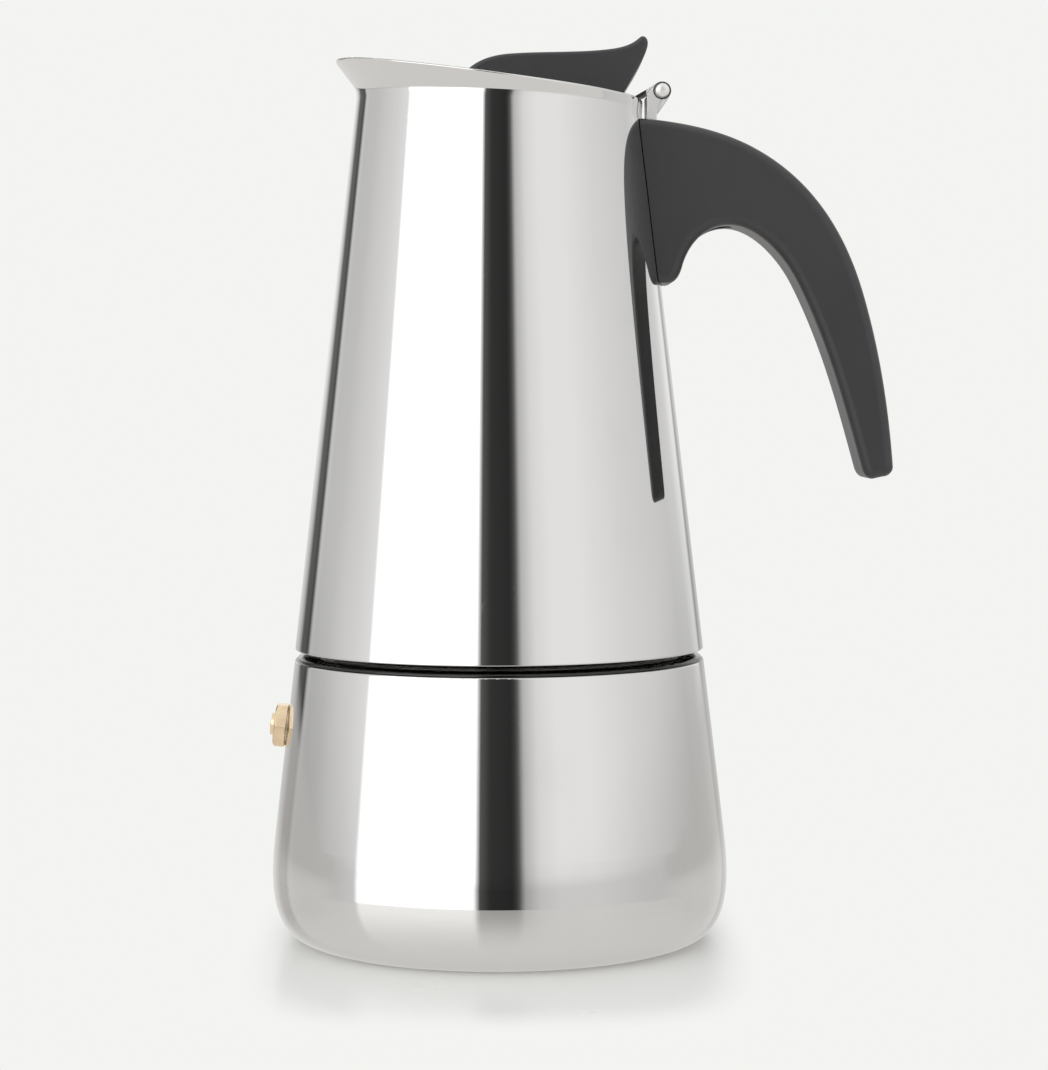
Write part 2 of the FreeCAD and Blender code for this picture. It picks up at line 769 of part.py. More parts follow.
def column():
    """Rising tube, spread into a cone where it stands on the floor."""
    waist = f"({FLOOR_HIGH} + column_foot_rise)"
    brim = f"({FLOOR_HIGH} + column_wall)"
    foot_out, foot_in = (COLUMN_FOOT, brim), (f"{COLUMN_FOOT} - column_wall", FLOOR_HIGH)
    neck_out, neck_in = ("column_radius", waist), ("column_radius - column_wall", waist)
    turned("column", [
        [foot_in, ("column_foot_radius", FLOOR_HIGH)],
        [("column_foot_radius", FLOOR_HIGH), ("column_foot_radius", brim)],
        [("column_foot_radius", brim), foot_out],
        [foot_out, lead(foot_out, "column_foot_curve", "column_foot_lean"),
         lead(neck_out, "column_waist_curve", "-column_waist_lean"), neck_out],
        [neck_out, ("column_tip_radius", "column_level")],
        [("column_tip_radius", "column_level"), ("column_tip_radius - column_wall", "column_level")],
        [("column_tip_radius - column_wall", "column_level"), neck_in],
        [neck_in, lead(neck_in, "column_waist_curve", "-column_waist_lean"),
         lead(foot_in, "column_foot_curve", "column_foot_lean"), foot_in]])


def column_cap():
    """Cap on the column, with two windows that throw the coffee to the sides."""
    taper = f"(column_radius - column_tip_radius) / (column_level - {FLOOR_HIGH} - column_foot_rise)"
    bore = f"(column_tip_radius + {taper} * cap_grip + cap_gap)"
    edge = f"({bore} + cap_wall)"
    low, high = "(column_level - cap_grip)", "(column_level + cap_rise)"
    sill, head = "(column_level + cap_slot_lift)", "(column_level + cap_slot_lift + cap_slot_rise)"
    shoulder = (edge, f"{head} + cap_shoulder")
    cap = turned("column_cap", [
        [(bore, low), (edge, low)],
        [(edge, low), shoulder],
        [shoulder, (edge, high), ("cap_crown", high), ("0", high)],
        [("0", high), ("0", f"{high} - cap_wall")],
        [("0", f"{high} - cap_wall"), (bore, f"{high} - cap_wall")],
        [(bore, f"{high} - cap_wall"), (bore, low)]])
    side_pocket(cap, "cap_windows", box_runs(
        "-cap_slot_width / 2", "cap_slot_width / 2", sill, head), "4 * column_radius")


# ---------------------------------------------------------------- lid hinge and bracket

HINGE = ("hinge_reach", "hinge_level")
KNUCKLE = "(hinge_pin_radius + hinge_gap + knuckle_wall)"
EAR_INSIDE = "(strap_width / 2 + ear_gap)"
EAR_OUTSIDE = "(strap_width / 2 + ear_gap + ear_thick)"


def wall_groove(owner, name, gap, low, high):
    """Cut a piece to lie on the outside of the jug's cone, clear of it by the gap."""
    groove(owner, name, polygon([
        ("0", low), (f"{jug_radius(low)} + {gap}", low), (f"{jug_radius(high)} + {gap}", high),
        ("0", high)]))


def round_side_pocket(owner, name, spot, radius, width):
    """Bore a round hole from side to side."""
    sketch = sketch_on(owner, name + "_outline", "XZ_Plane")
    circle(sketch, spot[0], spot[1], radius)
    return pocket(owner, name, sketch, width)


def round_side_pad(owner, name, spot, radius, width):
    """Add a round boss from side to side."""
    sketch = sketch_on(owner, name + "_outline", "XZ_Plane")
    circle(sketch, spot[0], spot[1], radius)
    return pad(owner, name, sketch, width)


def bracket_spots(grow):
    """Side outline of the bracket's two ears, grown all round by a gap."""
    low, high = f"(bracket_foot_level - {grow})", "web_level"
    return [
        (f"ear_reach - {DEEP}", low), (f"{jug_radius(low)} + ear_depth + {grow}", low),
        (f"{jug_radius(high)} + ear_depth + {grow}", high),
        (f"{jug_radius(high)} + ear_depth + {grow}", "handle_top_level + ear_clear"),
        lead(HINGE, KNUCKLE, "-ear_front_turn"), lead(HINGE, KNUCKLE, "ear_back_turn"),
        (f"ear_reach - {grow}", "hinge_level - ear_step"),
        (f"ear_reach - {grow}", high), (f"ear_reach - {DEEP}", high)]


def handle_bracket():
    """Folded steel bracket: a web on the jug, two ears up to the hinge pin and a tongue for the screw."""
    bracket = body("handle_bracket")
    side_pad(bracket, "ears", polygon(bracket_spots("0")), f"2 * {EAR_OUTSIDE}")
    round_side_pad(bracket, "ear_ends", HINGE, KNUCKLE, f"2 * {EAR_OUTSIDE}")
    low, high, top = f"(bracket_foot_level - {PAST})", "web_level", f"hinge_level + 2 * {KNUCKLE}"
    side_pocket(bracket, "channel", polygon([
        (f"{jug_radius(low)} + web_thick", low), ("tongue_reach", low), ("tongue_reach", top),
        (f"ear_reach - 2 * {DEEP}", top), (f"ear_reach - 2 * {DEEP}", high),
        (f"{jug_radius(high)} + web_thick", high)]), f"2 * {EAR_INSIDE}")
    side_pad(bracket, "tongue", box_runs(
        f"ear_reach - {DEEP}", "tongue_reach", "tongue_level", "tongue_level + tongue_thick"),
        "tongue_width")
    wall_groove(bracket, "web_seat", "floor_gap", low, f"(web_level + {PAST})")
    round_side_pocket(bracket, "pin_bore", HINGE, "hinge_pin_radius + floor_gap", f"4 * {EAR_OUTSIDE}")
    sketch = sketch_on(bracket, "screw_thread_outline", "XY_Plane")
    offset_sketch(sketch, ("0", "0", "tongue_level + tongue_thick / 2"), Vector(0, 0, 1), "0")
    circle(sketch, "screw_reach", "0", "screw_radius + floor_gap")
    pocket(bracket, "screw_thread", sketch, "3 * tongue_thick")


def hinge_pin():
    """Pin through both ears and the lid's knuckle, with a domed rivet head at each end."""
    end, out, up = EAR_OUTSIDE, f"rivet_radius * {ARC}", f"rivet_length * {ARC}"
    bottom, low = ("0", f"-{end} - rivet_length"), ("rivet_radius", f"-{end}")
    high, top = ("rivet_radius", end), ("0", f"{end} + rivet_length")
    pin = turned("hinge_pin", [
        [bottom, lead(bottom, out, "0"), lead(low, up, "-90"), low],
        [low, ("hinge_pin_radius", f"-{end}")],
        [("hinge_pin_radius", f"-{end}"), ("hinge_pin_radius", end)],
        [("hinge_pin_radius", end), high],
        [high, lead(high, up, "90"), lead(top, out, "0"), top],
        [top, bottom]])
    pin.Placement = Placement(Vector(), Rotation(Vector(1, 0, 0), TURN / 4))
    pin.setExpression("Placement.Base.x", bound("hinge_reach"))
    pin.setExpression("Placement.Base.z", bound("hinge_level"))
    doc.recompute()


# ---------------------------------------------------------------- handle

def handle():
    """Moulded grip: a crowned outline with rounded edges, seated on the jug and over its bracket."""
    grip = body("handle")
    root = ("handle_root_reach", "handle_top_level")
    bend, palm = ("bend_reach", "bend_level"), ("palm_reach", "palm_level")
    hold, arch = ("grip_reach", "grip_level"), ("arch_reach", "arch_level")
    hip = ("handle_end_reach", "handle_end_level + handle_end_round")
    sole = ("handle_end_reach - handle_end_round", "handle_end_level")
    toe = ("handle_end_reach - handle_end_thick + handle_end_round", "handle_end_level - handle_end_drop")
    heel = ("handle_end_reach - handle_end_thick", f"{toe[1]} + handle_end_round")
    tail = ("tail_reach", "tail_level")
    foot = ("tail_reach - tail_round", "tail_end_level")
    inside = ("handle_root_reach", "tail_end_level")
    corner, curl = f"handle_end_round * {ARC}", f"tail_round * {ARC}"
    side_pad(grip, "grip_block", [
        [root, lead(root, "root_curve", "-root_slope"), lead(bend, "root_curve", "180 - bend_slope"), bend],
        [bend, lead(bend, "bend_curve", "-bend_slope"), lead(hold, "bend_curve", "180 - grip_slope"), hold],
        [hold, lead(hold, "grip_curve", "-grip_slope"), lead(hip, "grip_curve", "hip_lean"), hip],
        [hip, lead(hip, corner, "hip_lean + 180"), lead(sole, corner, "0"), sole],
        [sole, toe],
        [toe, lead(toe, corner, "180"), lead(heel, corner, "heel_lean + 180"), heel],
        [heel, lead(heel, "heel_curve", "heel_lean"), lead(palm, "palm_curve", "palm_lean + 180"), palm],
        [palm, lead(palm, "palm_top_curve", "palm_lean"), lead(arch, "arch_curve", "0"), arch],
        [arch, lead(arch, "arch_back_curve", "180"), lead(tail, "tail_curve", "tail_lean"), tail],
        [tail, lead(tail, curl, "tail_lean + 180"), lead(foot, curl, "0"), foot],
        [foot, inside],
        [inside, root]], "handle_width")
    side = size("handle_width") / 2
    wall = size("handle_root_reach")

    def on_rim(edge):
        box = edge.BoundBox
        flat = box.YLength < HAIR and abs(abs(box.YMin) - side) < HAIR
        return flat and box.XMax > wall + HAIR and box.XLength > HAIR

    round_edges(grip, "grip_edges", on_rim, "handle_edge")
    wall_groove(grip, "jug_seat", "handle_wall_gap",
                f"(tail_end_level - {PAST})", f"(handle_top_level + {PAST})")
    side_pocket(grip, "bracket_slot", polygon(bracket_spots("handle_slot_gap")),
                f"2 * ({EAR_OUTSIDE} + handle_slot_gap)")
    side_pocket(grip, "tongue_slot", box_runs(
        f"ear_reach - {DEEP}", "tongue_reach + handle_slot_gap", "tongue_level - handle_slot_gap",
        "tongue_level + tongue_thick + handle_slot_gap"), "tongue_width + 2 * handle_slot_gap")
    low = f"(arch_level - {DEEP})"
    for name, radius, high in (
            ("screw_hole", "screw_radius", "(screw_seat_level + screw_length + screw_gap)"),
            ("screw_recess", "screw_head_radius", "screw_seat_level")):
        sketch = sketch_on(grip, name + "_outline", "XY_Plane")
        offset_sketch(sketch, ("0", "0", f"({low} + {high}) / 2"), Vector(0, 0, 1), "0")
        circle(sketch, "screw_reach", "0", f"{radius} + screw_gap")
        pocket(grip, name, sketch, f"{high} - {low}")


def handle_screw():
    """Pan-head screw from under the arch up into the bracket's tongue."""
    head = "-screw_head_length"
    screw = turned("handle_screw", polygon([
        ("0", head), ("screw_head_radius", head), ("screw_head_radius", "0"), ("screw_radius", "0"),
        ("screw_radius", "screw_length"), ("0", "screw_length")]))
    round_edges(screw, "screw_head", lambda edge: abs(edge.BoundBox.Center.z - size(head)) < HAIR,
                "screw_head_length * 0.4")
    screw.setExpression("Placement.Base.x", bound("screw_reach"))
    screw.setExpression("Placement.Base.z", bound("screw_seat_level"))
    doc.recompute()


# ---------------------------------------------------------------- lid
# The lid's own upright axis leans with the plane of the jug's crease.

LID_RADIUS = f"({jug_radius('crease_level')} - jug_wall - lid_gap)"


def lean_with_lid(sketch):
    """Draw a side-view sketch about the lid's own middle and lean."""
    offset_sketch(sketch, ("lid_centre", "crease_level + lid_seat", "0"), Vector(0, 0, 1), "-crease_tilt")


def lid_turn(owner, name, runs, kind):
    """Revolve or groove an outline about the lid's own axis."""
    sketch = sketch_on(owner, name + "_outline", "XZ_Plane")
    lean_with_lid(sketch)
    outline(sketch, runs)
    return turn(owner, name, sketch, kind)


def dome_run(inset):
    """The lid's curved top from its middle to its edge, or its underside when inset."""
    top, edge = ("0", f"lid_dome - {inset}"), (f"{LID_RADIUS} - {inset}", f"-{inset}")
    return [top, lead(top, "dome_crown_run", "0"), lead(edge, "dome_edge_run", "dome_edge_lean"), edge]


def under_dome(gap):
    """Everything under the lid's top, as an outline to groove away, raised by a gap."""
    run = [(spot[0], f"{spot[1]} + {gap}") for spot in dome_run("0")]
    deep = f"-{DEEP}"
    return [run, [run[-1], (run[-1][0], deep)], [(run[-1][0], deep), ("0", deep)], [("0", deep), run[0]]]


def lid_plate():
    """Domed lid with a turned-down edge and a hole for the knob's screw."""
    lid = body("lid_plate")
    top, under = dome_run("0"), dome_run("lid_sheet")
    rim = (LID_RADIUS, "-lid_skirt")
    lip = (f"{LID_RADIUS} - lid_sheet", "-lid_skirt")
    lid_turn(lid, "dome", [
        top, [top[-1], rim], [rim, lip], [lip, under[-1]], under[::-1], [under[0], top[0]]], "Revolution")
    reach, level = size(LID_RADIUS), size("crease_level + lid_seat")

    def on_brow(edge):
        return edge.BoundBox.YLength > 2 * reach - HAIR and edge.CenterOfMass.z > level - HAIR

    round_edges(lid, "lid_brow", on_brow, "lid_brow_round")
    lid_turn(lid, "screw_way", box_runs(
        "0", "knob_screw_radius + screw_gap", "-lid_dome", "2 * lid_dome"), "Groove")


def strap_spots():
    """The strap's upper line in the side view: on the curl, at its bend and at its toe."""
    top = (f"hinge_reach - {KNUCKLE} * sin(strap_rise)", f"hinge_level + {KNUCKLE} * cos(strap_rise)")
    bend = lead(top, "strap_run", "180 + strap_rise")
    return top, bend, lead(bend, "strap_foot", "180 - strap_foot_rise")


def lid_knuckle():
    """Strap welded on the lid, led over the rim and curled round the hinge pin."""
    knuckle = body("lid_knuckle")
    top, bend, toe = strap_spots()
    half = "(strap_rise + strap_foot_rise) / 2"
    side_pad(knuckle, "strap", polygon([
        top, bend, toe, (toe[0], f"{toe[1]} - 3 * knuckle_wall"), (bend[0], f"{bend[1]} - 3 * knuckle_wall"),
        lead(bend, f"knuckle_wall / cos({half})", f"strap_rise - {half} - 90"),
        lead(top, "knuckle_wall", "strap_rise - 90"), HINGE]), "strap_width")
    round_side_pad(knuckle, "curl", HINGE, KNUCKLE, "strap_width")
    round_side_pocket(knuckle, "curl_bore", HINGE, "hinge_pin_radius + hinge_gap", "2 * strap_width")
    lid_turn(knuckle, "lid_seat", under_dome("0"), "Groove")


def lid_knob():
    """Moulded thumb piece swept up at the back, hollowed to lie on the domed lid and over the strap."""
    knob = body("lid_knob")
    nose, brow = ("knob_front", "crease_level"), ("knob_brow_reach", "knob_brow_level")
    sweep, tip = ("knob_sweep_reach", "knob_sweep_level"), ("knob_tip_reach", "knob_tip_level")
    lip = ("knob_tip_reach + knob_lip_back", "knob_tip_level - knob_lip_drop")
    heel = ("knob_back_reach", f"crease_level - {PAST}")
    side_pad(knob, "knob_block", [
        [nose, lead(nose, "knob_nose_curve", "knob_nose_lean"),
         lead(brow, "knob_brow_curve", "180 + knob_brow_lean"), brow],
        [brow, lead(brow, "knob_brow_curve", "knob_brow_lean"),
         lead(sweep, "knob_sweep_curve", "180 + knob_sweep_lean"), sweep],
        [sweep, lead(sweep, "knob_sweep_curve / 2", "knob_sweep_lean"),
         lead(tip, "knob_tip_curve", "180 + knob_tip_lean"), tip],
        [tip, lead(tip, "knob_lip_curve", "knob_tip_lean"),
         lead(lip, "knob_lip_curve", "knob_lip_lean"), lip],
        [lip, lead(lip, "knob_back_curve / 2", "knob_lip_lean + 180"),
         lead(heel, "knob_back_curve", "knob_back_lean"), heel],
        [heel, nose]], "knob_width")
    side, base = size("knob_width") / 2, size(f"crease_level + {PAST}")

    def on_outline(edge):
        box = edge.BoundBox
        return box.YLength < HAIR and abs(abs(box.YMin) - side) < HAIR and box.ZMax > base

    round_edges(knob, "knob_edges", on_outline, "knob_edge")
    lid_turn(knob, "lid_seat", under_dome("knob_lid_gap"), "Groove")
    top, bend, toe = strap_spots()
    front, under = f"{toe[0]} - knob_strap_gap", f"{toe[1]} - strap_foot"
    side_pocket(knob, "strap_relief", polygon([
        (front, under), (front, f"{toe[1]} + knob_strap_gap"), (bend[0], f"{bend[1]} + knob_strap_gap"),
        ("hinge_reach", f"{bend[1]} + strap_run"), ("hinge_reach", under)]),
        "strap_width + 2 * knob_strap_gap")
    lid_turn(knob, "screw_hole", box_runs(
        "0", "knob_screw_radius + screw_gap", "0", "lid_dome + knob_screw_length + screw_gap"), "Groove")


def knob_screw():
    """Screw from under the lid up into the knob."""
    screw = body("knob_screw")
    seat = "(lid_dome - lid_sheet - screw_gap)"
    head = f"({seat} - knob_screw_head_length)"
    end = "(lid_dome + knob_screw_length)"
    lid_turn(screw, "screw", polygon([
        ("0", head), ("knob_screw_head_radius", head), ("knob_screw_head_radius", seat),
        ("knob_screw_radius", seat), ("knob_screw_radius", end), ("0", end)]), "Revolution")


# ---------------------------------------------------------------- the whole pot

def check_document():
    """Stop if any feature failed or any sub-part isn't one valid solid."""
    for item in doc.Objects:
        if "Invalid" in item.State or "Error" in item.State:
            raise RuntimeError(f"{item.Name} failed: {item.State}")
    for piece in PARTS:
        shape = piece.Shape
        if shape.isNull() or not shape.isValid() or len(shape.Solids) != 1:
            raise RuntimeError(f"{piece.Label} isn't one valid solid")


def build():
    """Make every sub-part, check the document and write one STEP file for each."""
    for make in (
            boiler_shell, valve_body, valve_washer, valve_nut, valve_pin, valve_spring,
            funnel_cup, funnel_stem, funnel_plate, gasket, filter_plate,
            jug_shell, jug_floor, thread_collar, column, column_cap,
            handle_bracket, hinge_pin, handle, handle_screw,
            lid_plate, lid_knuckle, lid_knob, knob_screw):
        make()
    doc.recompute()
    check_document()
    os.makedirs("parts", exist_ok=True)
    for piece in PARTS:
        piece.Shape.exportStep(f"parts/{piece.Label}.step")
        print(piece.Label, round(piece.Shape.Volume, 1))


build()
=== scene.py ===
"""Looks of a stovetop moka pot in polished steel, with a black moulded handle and a brass safety valve."""
import math

import bpy
import numpy as np
from mathutils import Matrix, Vector


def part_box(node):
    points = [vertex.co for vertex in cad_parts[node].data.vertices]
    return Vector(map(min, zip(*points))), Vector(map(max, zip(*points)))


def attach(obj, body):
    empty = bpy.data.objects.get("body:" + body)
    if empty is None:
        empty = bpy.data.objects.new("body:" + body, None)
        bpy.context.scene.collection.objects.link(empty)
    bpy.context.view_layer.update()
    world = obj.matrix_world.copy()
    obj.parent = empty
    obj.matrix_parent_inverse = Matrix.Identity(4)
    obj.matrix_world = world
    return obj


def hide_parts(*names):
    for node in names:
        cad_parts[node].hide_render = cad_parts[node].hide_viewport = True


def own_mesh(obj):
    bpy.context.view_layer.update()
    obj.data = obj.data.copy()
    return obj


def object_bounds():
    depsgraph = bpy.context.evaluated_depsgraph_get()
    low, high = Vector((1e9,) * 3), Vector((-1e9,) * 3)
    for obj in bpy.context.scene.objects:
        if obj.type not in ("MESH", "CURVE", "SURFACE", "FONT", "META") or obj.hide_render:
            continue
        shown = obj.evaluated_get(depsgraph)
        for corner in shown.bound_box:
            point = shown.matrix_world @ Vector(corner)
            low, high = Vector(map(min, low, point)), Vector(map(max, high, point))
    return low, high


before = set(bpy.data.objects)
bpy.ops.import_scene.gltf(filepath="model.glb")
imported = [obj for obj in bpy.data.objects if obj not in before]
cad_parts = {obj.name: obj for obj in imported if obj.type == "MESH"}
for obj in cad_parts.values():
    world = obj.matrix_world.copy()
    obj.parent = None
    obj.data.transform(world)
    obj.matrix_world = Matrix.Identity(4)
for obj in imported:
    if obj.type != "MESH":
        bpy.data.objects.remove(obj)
cad_low, cad_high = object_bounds()

MM = 0.001
PALE = (0.896, 0.905, 0.880, 1.0)


# ---------------------------------------------------------------- nodes

class Tree:
    """A node tree that is written from left to right, one call for each node."""

    def __init__(self, tree):
        self.tree = tree

    def add(self, kind, settings=None, **inputs):
        """Add a node, set its plain settings, then fill its inputs with values or with links."""
        node = self.tree.nodes.new(kind)
        for name, value in (settings or {}).items():
            setattr(node, name, value)
        for name, value in inputs.items():
            self.fill(node, name.replace("_", " "), value)
        return node

    def fill(self, node, name, value):
        """Give one input a value, or link it if the value is another node's socket."""
        spot = node.inputs[int(name)] if name.isdigit() else node.inputs[name]
        if isinstance(value, bpy.types.NodeSocket):
            self.tree.links.new(value, spot)
        else:
            spot.default_value = value

    def math(self, operation, first, second=0.0, third=0.0):
        """A Math node's result."""
        node = self.add("ShaderNodeMath", {"operation": operation})
        for index, value in enumerate((first, second, third)):
            self.fill(node, str(index), value)
        return node.outputs[0]

    def vector(self, operation, first, second=(0.0, 0.0, 0.0)):
        """A Vector Math node's result, which is a number for a length or a dot product."""
        node = self.add("ShaderNodeVectorMath", {"operation": operation})
        self.fill(node, "0", first)
        self.fill(node, "1", second)
        return node.outputs["Value" if operation in ("LENGTH", "DOT_PRODUCT") else "Vector"]

    def step(self, value, low, high, dark=0.0, bright=1.0):
        """A smooth rise from one level to another while the value goes from low to high."""
        node = self.add("ShaderNodeMapRange", {"interpolation_type": "SMOOTHSTEP"})
        for index, number in enumerate((value, low, high, dark, bright)):
            self.fill(node, str(index), number)
        return node.outputs["Result"]

    def noise(self, place, scale, detail=2.0, roughness=0.5, stretch=(1.0, 1.0, 1.0)):
        """A noise value on a place, with the pattern stretched along its axes."""
        pulled = self.vector("MULTIPLY", place, stretch)
        node = self.add("ShaderNodeTexNoise", Vector=pulled, Scale=scale, Detail=detail, Roughness=roughness)
        return node.outputs["Fac"]

    def mix(self, share, first, second):
        """A colour between two colours."""
        node = self.add("ShaderNodeMix", {"data_type": "RGBA"})
        for index, value in ((0, share), (6, first), (7, second)):
            self.fill(node, str(index), value)
        return node.outputs[2]

    def ramp(self, value, stops):
        """A colour ramp through grey levels."""
        node = self.add("ShaderNodeValToRGB", Fac=value)
        marks = node.color_ramp.elements
        for index, (place, level) in enumerate(stops):
            mark = marks[index] if index < len(marks) else marks.new(place)
            mark.position = place
            mark.color = (level, level, level, 1.0)
        return node.outputs["Color"]


def group(name, inputs, outputs):
    """A node group with named sockets, and its tree and input node."""
    made = bpy.data.node_groups.new(name, "ShaderNodeTree")
    for socket, kind, value in inputs:
        spot = made.interface.new_socket(socket, in_out="INPUT", socket_type="NodeSocket" + kind)
        spot.default_value = value
    for socket, kind in outputs:
        made.interface.new_socket(socket, in_out="OUTPUT", socket_type="NodeSocket" + kind)
    tree = Tree(made)
    return made, tree, tree.add("NodeGroupInput").outputs, tree.add("NodeGroupOutput")


def place_group(tree, made, **inputs):
    """Put a node group in a material."""
    return tree.add("ShaderNodeGroup", {"node_tree": made}, **inputs).outputs


def fresh_material(name):
    """An empty material with a Principled shader."""
    made = bpy.data.materials.new(name)
    made.use_nodes = True
    made.node_tree.nodes.clear()
    tree = Tree(made.node_tree)
    shader = tree.add("ShaderNodeBsdfPrincipled")
    out = tree.add("ShaderNodeOutputMaterial")
    made.node_tree.links.new(shader.outputs[0], out.inputs["Surface"])
    return made, tree, shader


# ---------------------------------------------------------------- effects that materials share

# Three sets of scratches: how far each is turned, and how its noise is stretched into lines.
SCRATCH_WAYS = (0.35, (22.0, 1.0, 1.0)), (-0.8, (1.0, 18.0, 1.4)), (1.3, (1.2, 1.0, 26.0))
THREAD_PITCH = 3.0 * MM
THREAD_RUN_OUT = 0.7 * MM


def handled_marks():
    """Finger smears, dust-fine scratches and a slow waviness, as a mask and a height."""
    made, tree, given, out = group(
        "handled_marks",
        [("Place", "Vector", (0.0, 0.0, 0.0)), ("Amount", "Float", 1.0)],
        [("Smear", "Float"), ("Scratch", "Float"), ("Wave", "Float")])
    place = given["Place"]
    patches = tree.step(tree.noise(place, 38.0, 4.0, 0.62), 0.42, 0.78)
    streaks = tree.step(tree.noise(place, 120.0, 3.0, 0.6, (1.0, 1.0, 0.35)), 0.38, 0.72)
    smear = tree.math("MULTIPLY", patches, streaks)
    lines = None
    for turn, stretch in SCRATCH_WAYS:
        spin = tree.add("ShaderNodeVectorRotate", {"rotation_type": "EULER_XYZ"}, Vector=place)
        spin.inputs["Rotation"].default_value = (turn, 0.4 * turn, 1.7 * turn)
        fine = tree.noise(spin.outputs[0], 260.0, 1.0, 0.4, stretch)
        thin = tree.step(fine, 0.72, 0.75)
        lines = thin if lines is None else tree.math("MAXIMUM", lines, thin)
    here = tree.step(tree.noise(place, 55.0, 2.0), 0.50, 0.72)
    tree.fill(out, "Smear", tree.math("MULTIPLY", smear, given["Amount"]))
    tree.fill(out, "Scratch", tree.math("MULTIPLY", tree.math("MULTIPLY", lines, here), given["Amount"]))
    tree.fill(out, "Wave", tree.noise(place, 14.0, 0.0))
    return made


def turned_rings():
    """Fine rings left by turning or spinning about the pot's upright axis: stripes over height and radius."""
    made, tree, given, out = group(
        "turned_rings",
        [("Place", "Vector", (0.0, 0.0, 0.0)), ("Pitch per m", "Float", 2500.0)],
        [("Ring", "Float")])
    parts = tree.add("ShaderNodeSeparateXYZ", Vector=given["Place"]).outputs
    flat = tree.add("ShaderNodeCombineXYZ", X=parts["X"], Y=parts["Y"]).outputs[0]
    reach = tree.vector("LENGTH", flat)
    along = tree.add("ShaderNodeCombineXYZ", X=reach, Y=parts["Z"]).outputs[0]
    node = tree.add("ShaderNodeTexNoise", {"noise_dimensions": "2D"}, Vector=along, Detail=3.0,
                    Roughness=0.65, Scale=given["Pitch per m"])
    tree.fill(out, "Ring", node.outputs["Fac"])
    return made


def inner_side():
    """1 where a surface faces the pot's upright axis, 0 where it faces away."""
    made, tree, given, out = group(
        "inner_side", [("Place", "Vector", (0.0, 0.0, 0.0))], [("Inside", "Float")])
    away = tree.vector("MULTIPLY", given["Place"], (1.0, 1.0, 0.0))
    away = tree.vector("NORMALIZE", away)
    facing = tree.add("ShaderNodeNewGeometry").outputs["Normal"]
    tree.fill(out, "Inside", tree.step(tree.vector("DOT_PRODUCT", facing, away), 0.05, -0.05))
    return made


def screw_thread():
    """Rounded thread ridges: a wave over height that climbs by its pitch with each turn, and runs out at
    both ends. It is there only near its reach from the pot's axis."""
    made, tree, given, out = group(
        "screw_thread",
        [("Place", "Vector", (0.0, 0.0, 0.0)), ("Pitch", "Float", THREAD_PITCH),
         ("Low", "Float", 0.0), ("High", "Float", 0.0), ("Reach", "Float", 0.0)],
        [("Ridge", "Float")])
    parts = tree.add("ShaderNodeSeparateXYZ", Vector=given["Place"]).outputs
    around = tree.math("DIVIDE", tree.math("ARCTAN2", parts["Y"], parts["X"]), math.tau)
    climb = tree.math("ADD", tree.math("DIVIDE", parts["Z"], given["Pitch"]), around)
    wave = tree.math("SINE", tree.math("MULTIPLY", climb, math.tau))
    above = tree.step(parts["Z"], given["Low"], tree.math("ADD", given["Low"], THREAD_RUN_OUT))
    below = tree.step(parts["Z"], given["High"], tree.math("SUBTRACT", given["High"], THREAD_RUN_OUT))
    ridge = tree.step(wave, -0.55, 0.75)
    flat = tree.add("ShaderNodeCombineXYZ", X=parts["X"], Y=parts["Y"]).outputs[0]
    near = tree.math("COMPARE", tree.vector("LENGTH", flat), given["Reach"], 0.3 * MM)
    ridge = tree.math("MULTIPLY", ridge, near)
    tree.fill(out, "Ridge", tree.math("MULTIPLY", ridge, tree.math("MULTIPLY", above, below)))
    return made


MARKS, RINGS, INSIDE, THREAD = handled_marks(), turned_rings(), inner_side(), screw_thread()


def place_of(tree):
    """Coordinates on the piece, in metres in the pot's own frame."""
    return tree.add("ShaderNodeTexCoord").outputs["Object"]


def relief(tree, height, distance, strength=1.0, under=None):
    """A Bump node's normal for a height, laid over another normal if one is given."""
    node = tree.add("ShaderNodeBump", Height=height, Distance=distance, Strength=strength)
    if under is not None:
        tree.fill(node, "Normal", under)
    return node.outputs["Normal"]


# ---------------------------------------------------------------- materials

# Colours are red, green, blue and alpha from 0 to 1: clean first, then smeared or stained, or painted shade
# in a gap or recess.

STEEL, STEEL_SMEARED = (0.735, 0.728, 0.715, 1.0), (0.66, 0.652, 0.635, 1.0)
# Painted shade in the recess on the chamber's shoulder under the jug: darkest low down, lighter higher up.
LEDGE_SHADE_DEEP, LEDGE_SHADE_OPEN = (0.05, 0.049, 0.048, 1.0), (0.32, 0.315, 0.31, 1.0)
PLATE, PLATE_SMEARED = (0.90, 0.895, 0.88, 1.0), (0.74, 0.73, 0.71, 1.0)
# Painted shade for the hinge's plate, round the pin's head and by the jug's wall.
PLATE_PAINTED_SHADE = (0.05, 0.049, 0.047, 1.0)
SATIN, SATIN_SMEARED = (0.70, 0.695, 0.68, 1.0), (0.60, 0.592, 0.57, 1.0)
BRASS, BRASS_TARNISHED = (0.93, 0.74, 0.49, 1.0), (0.83, 0.64, 0.44, 1.0)
NYLON, NYLON_CLOUDED = (0.034, 0.0325, 0.0355, 1.0), (0.044, 0.0425, 0.046, 1.0)
NYLON_SCUFFED = (0.07, 0.069, 0.071, 1.0)
RUBBER, RUBBER_STAINED = (0.80, 0.79, 0.75, 1.0), (0.62, 0.52, 0.38, 1.0)
FIBRE_DARK, FIBRE_LIGHT = (0.50, 0.37, 0.25, 1.0), (0.63, 0.49, 0.35, 1.0)
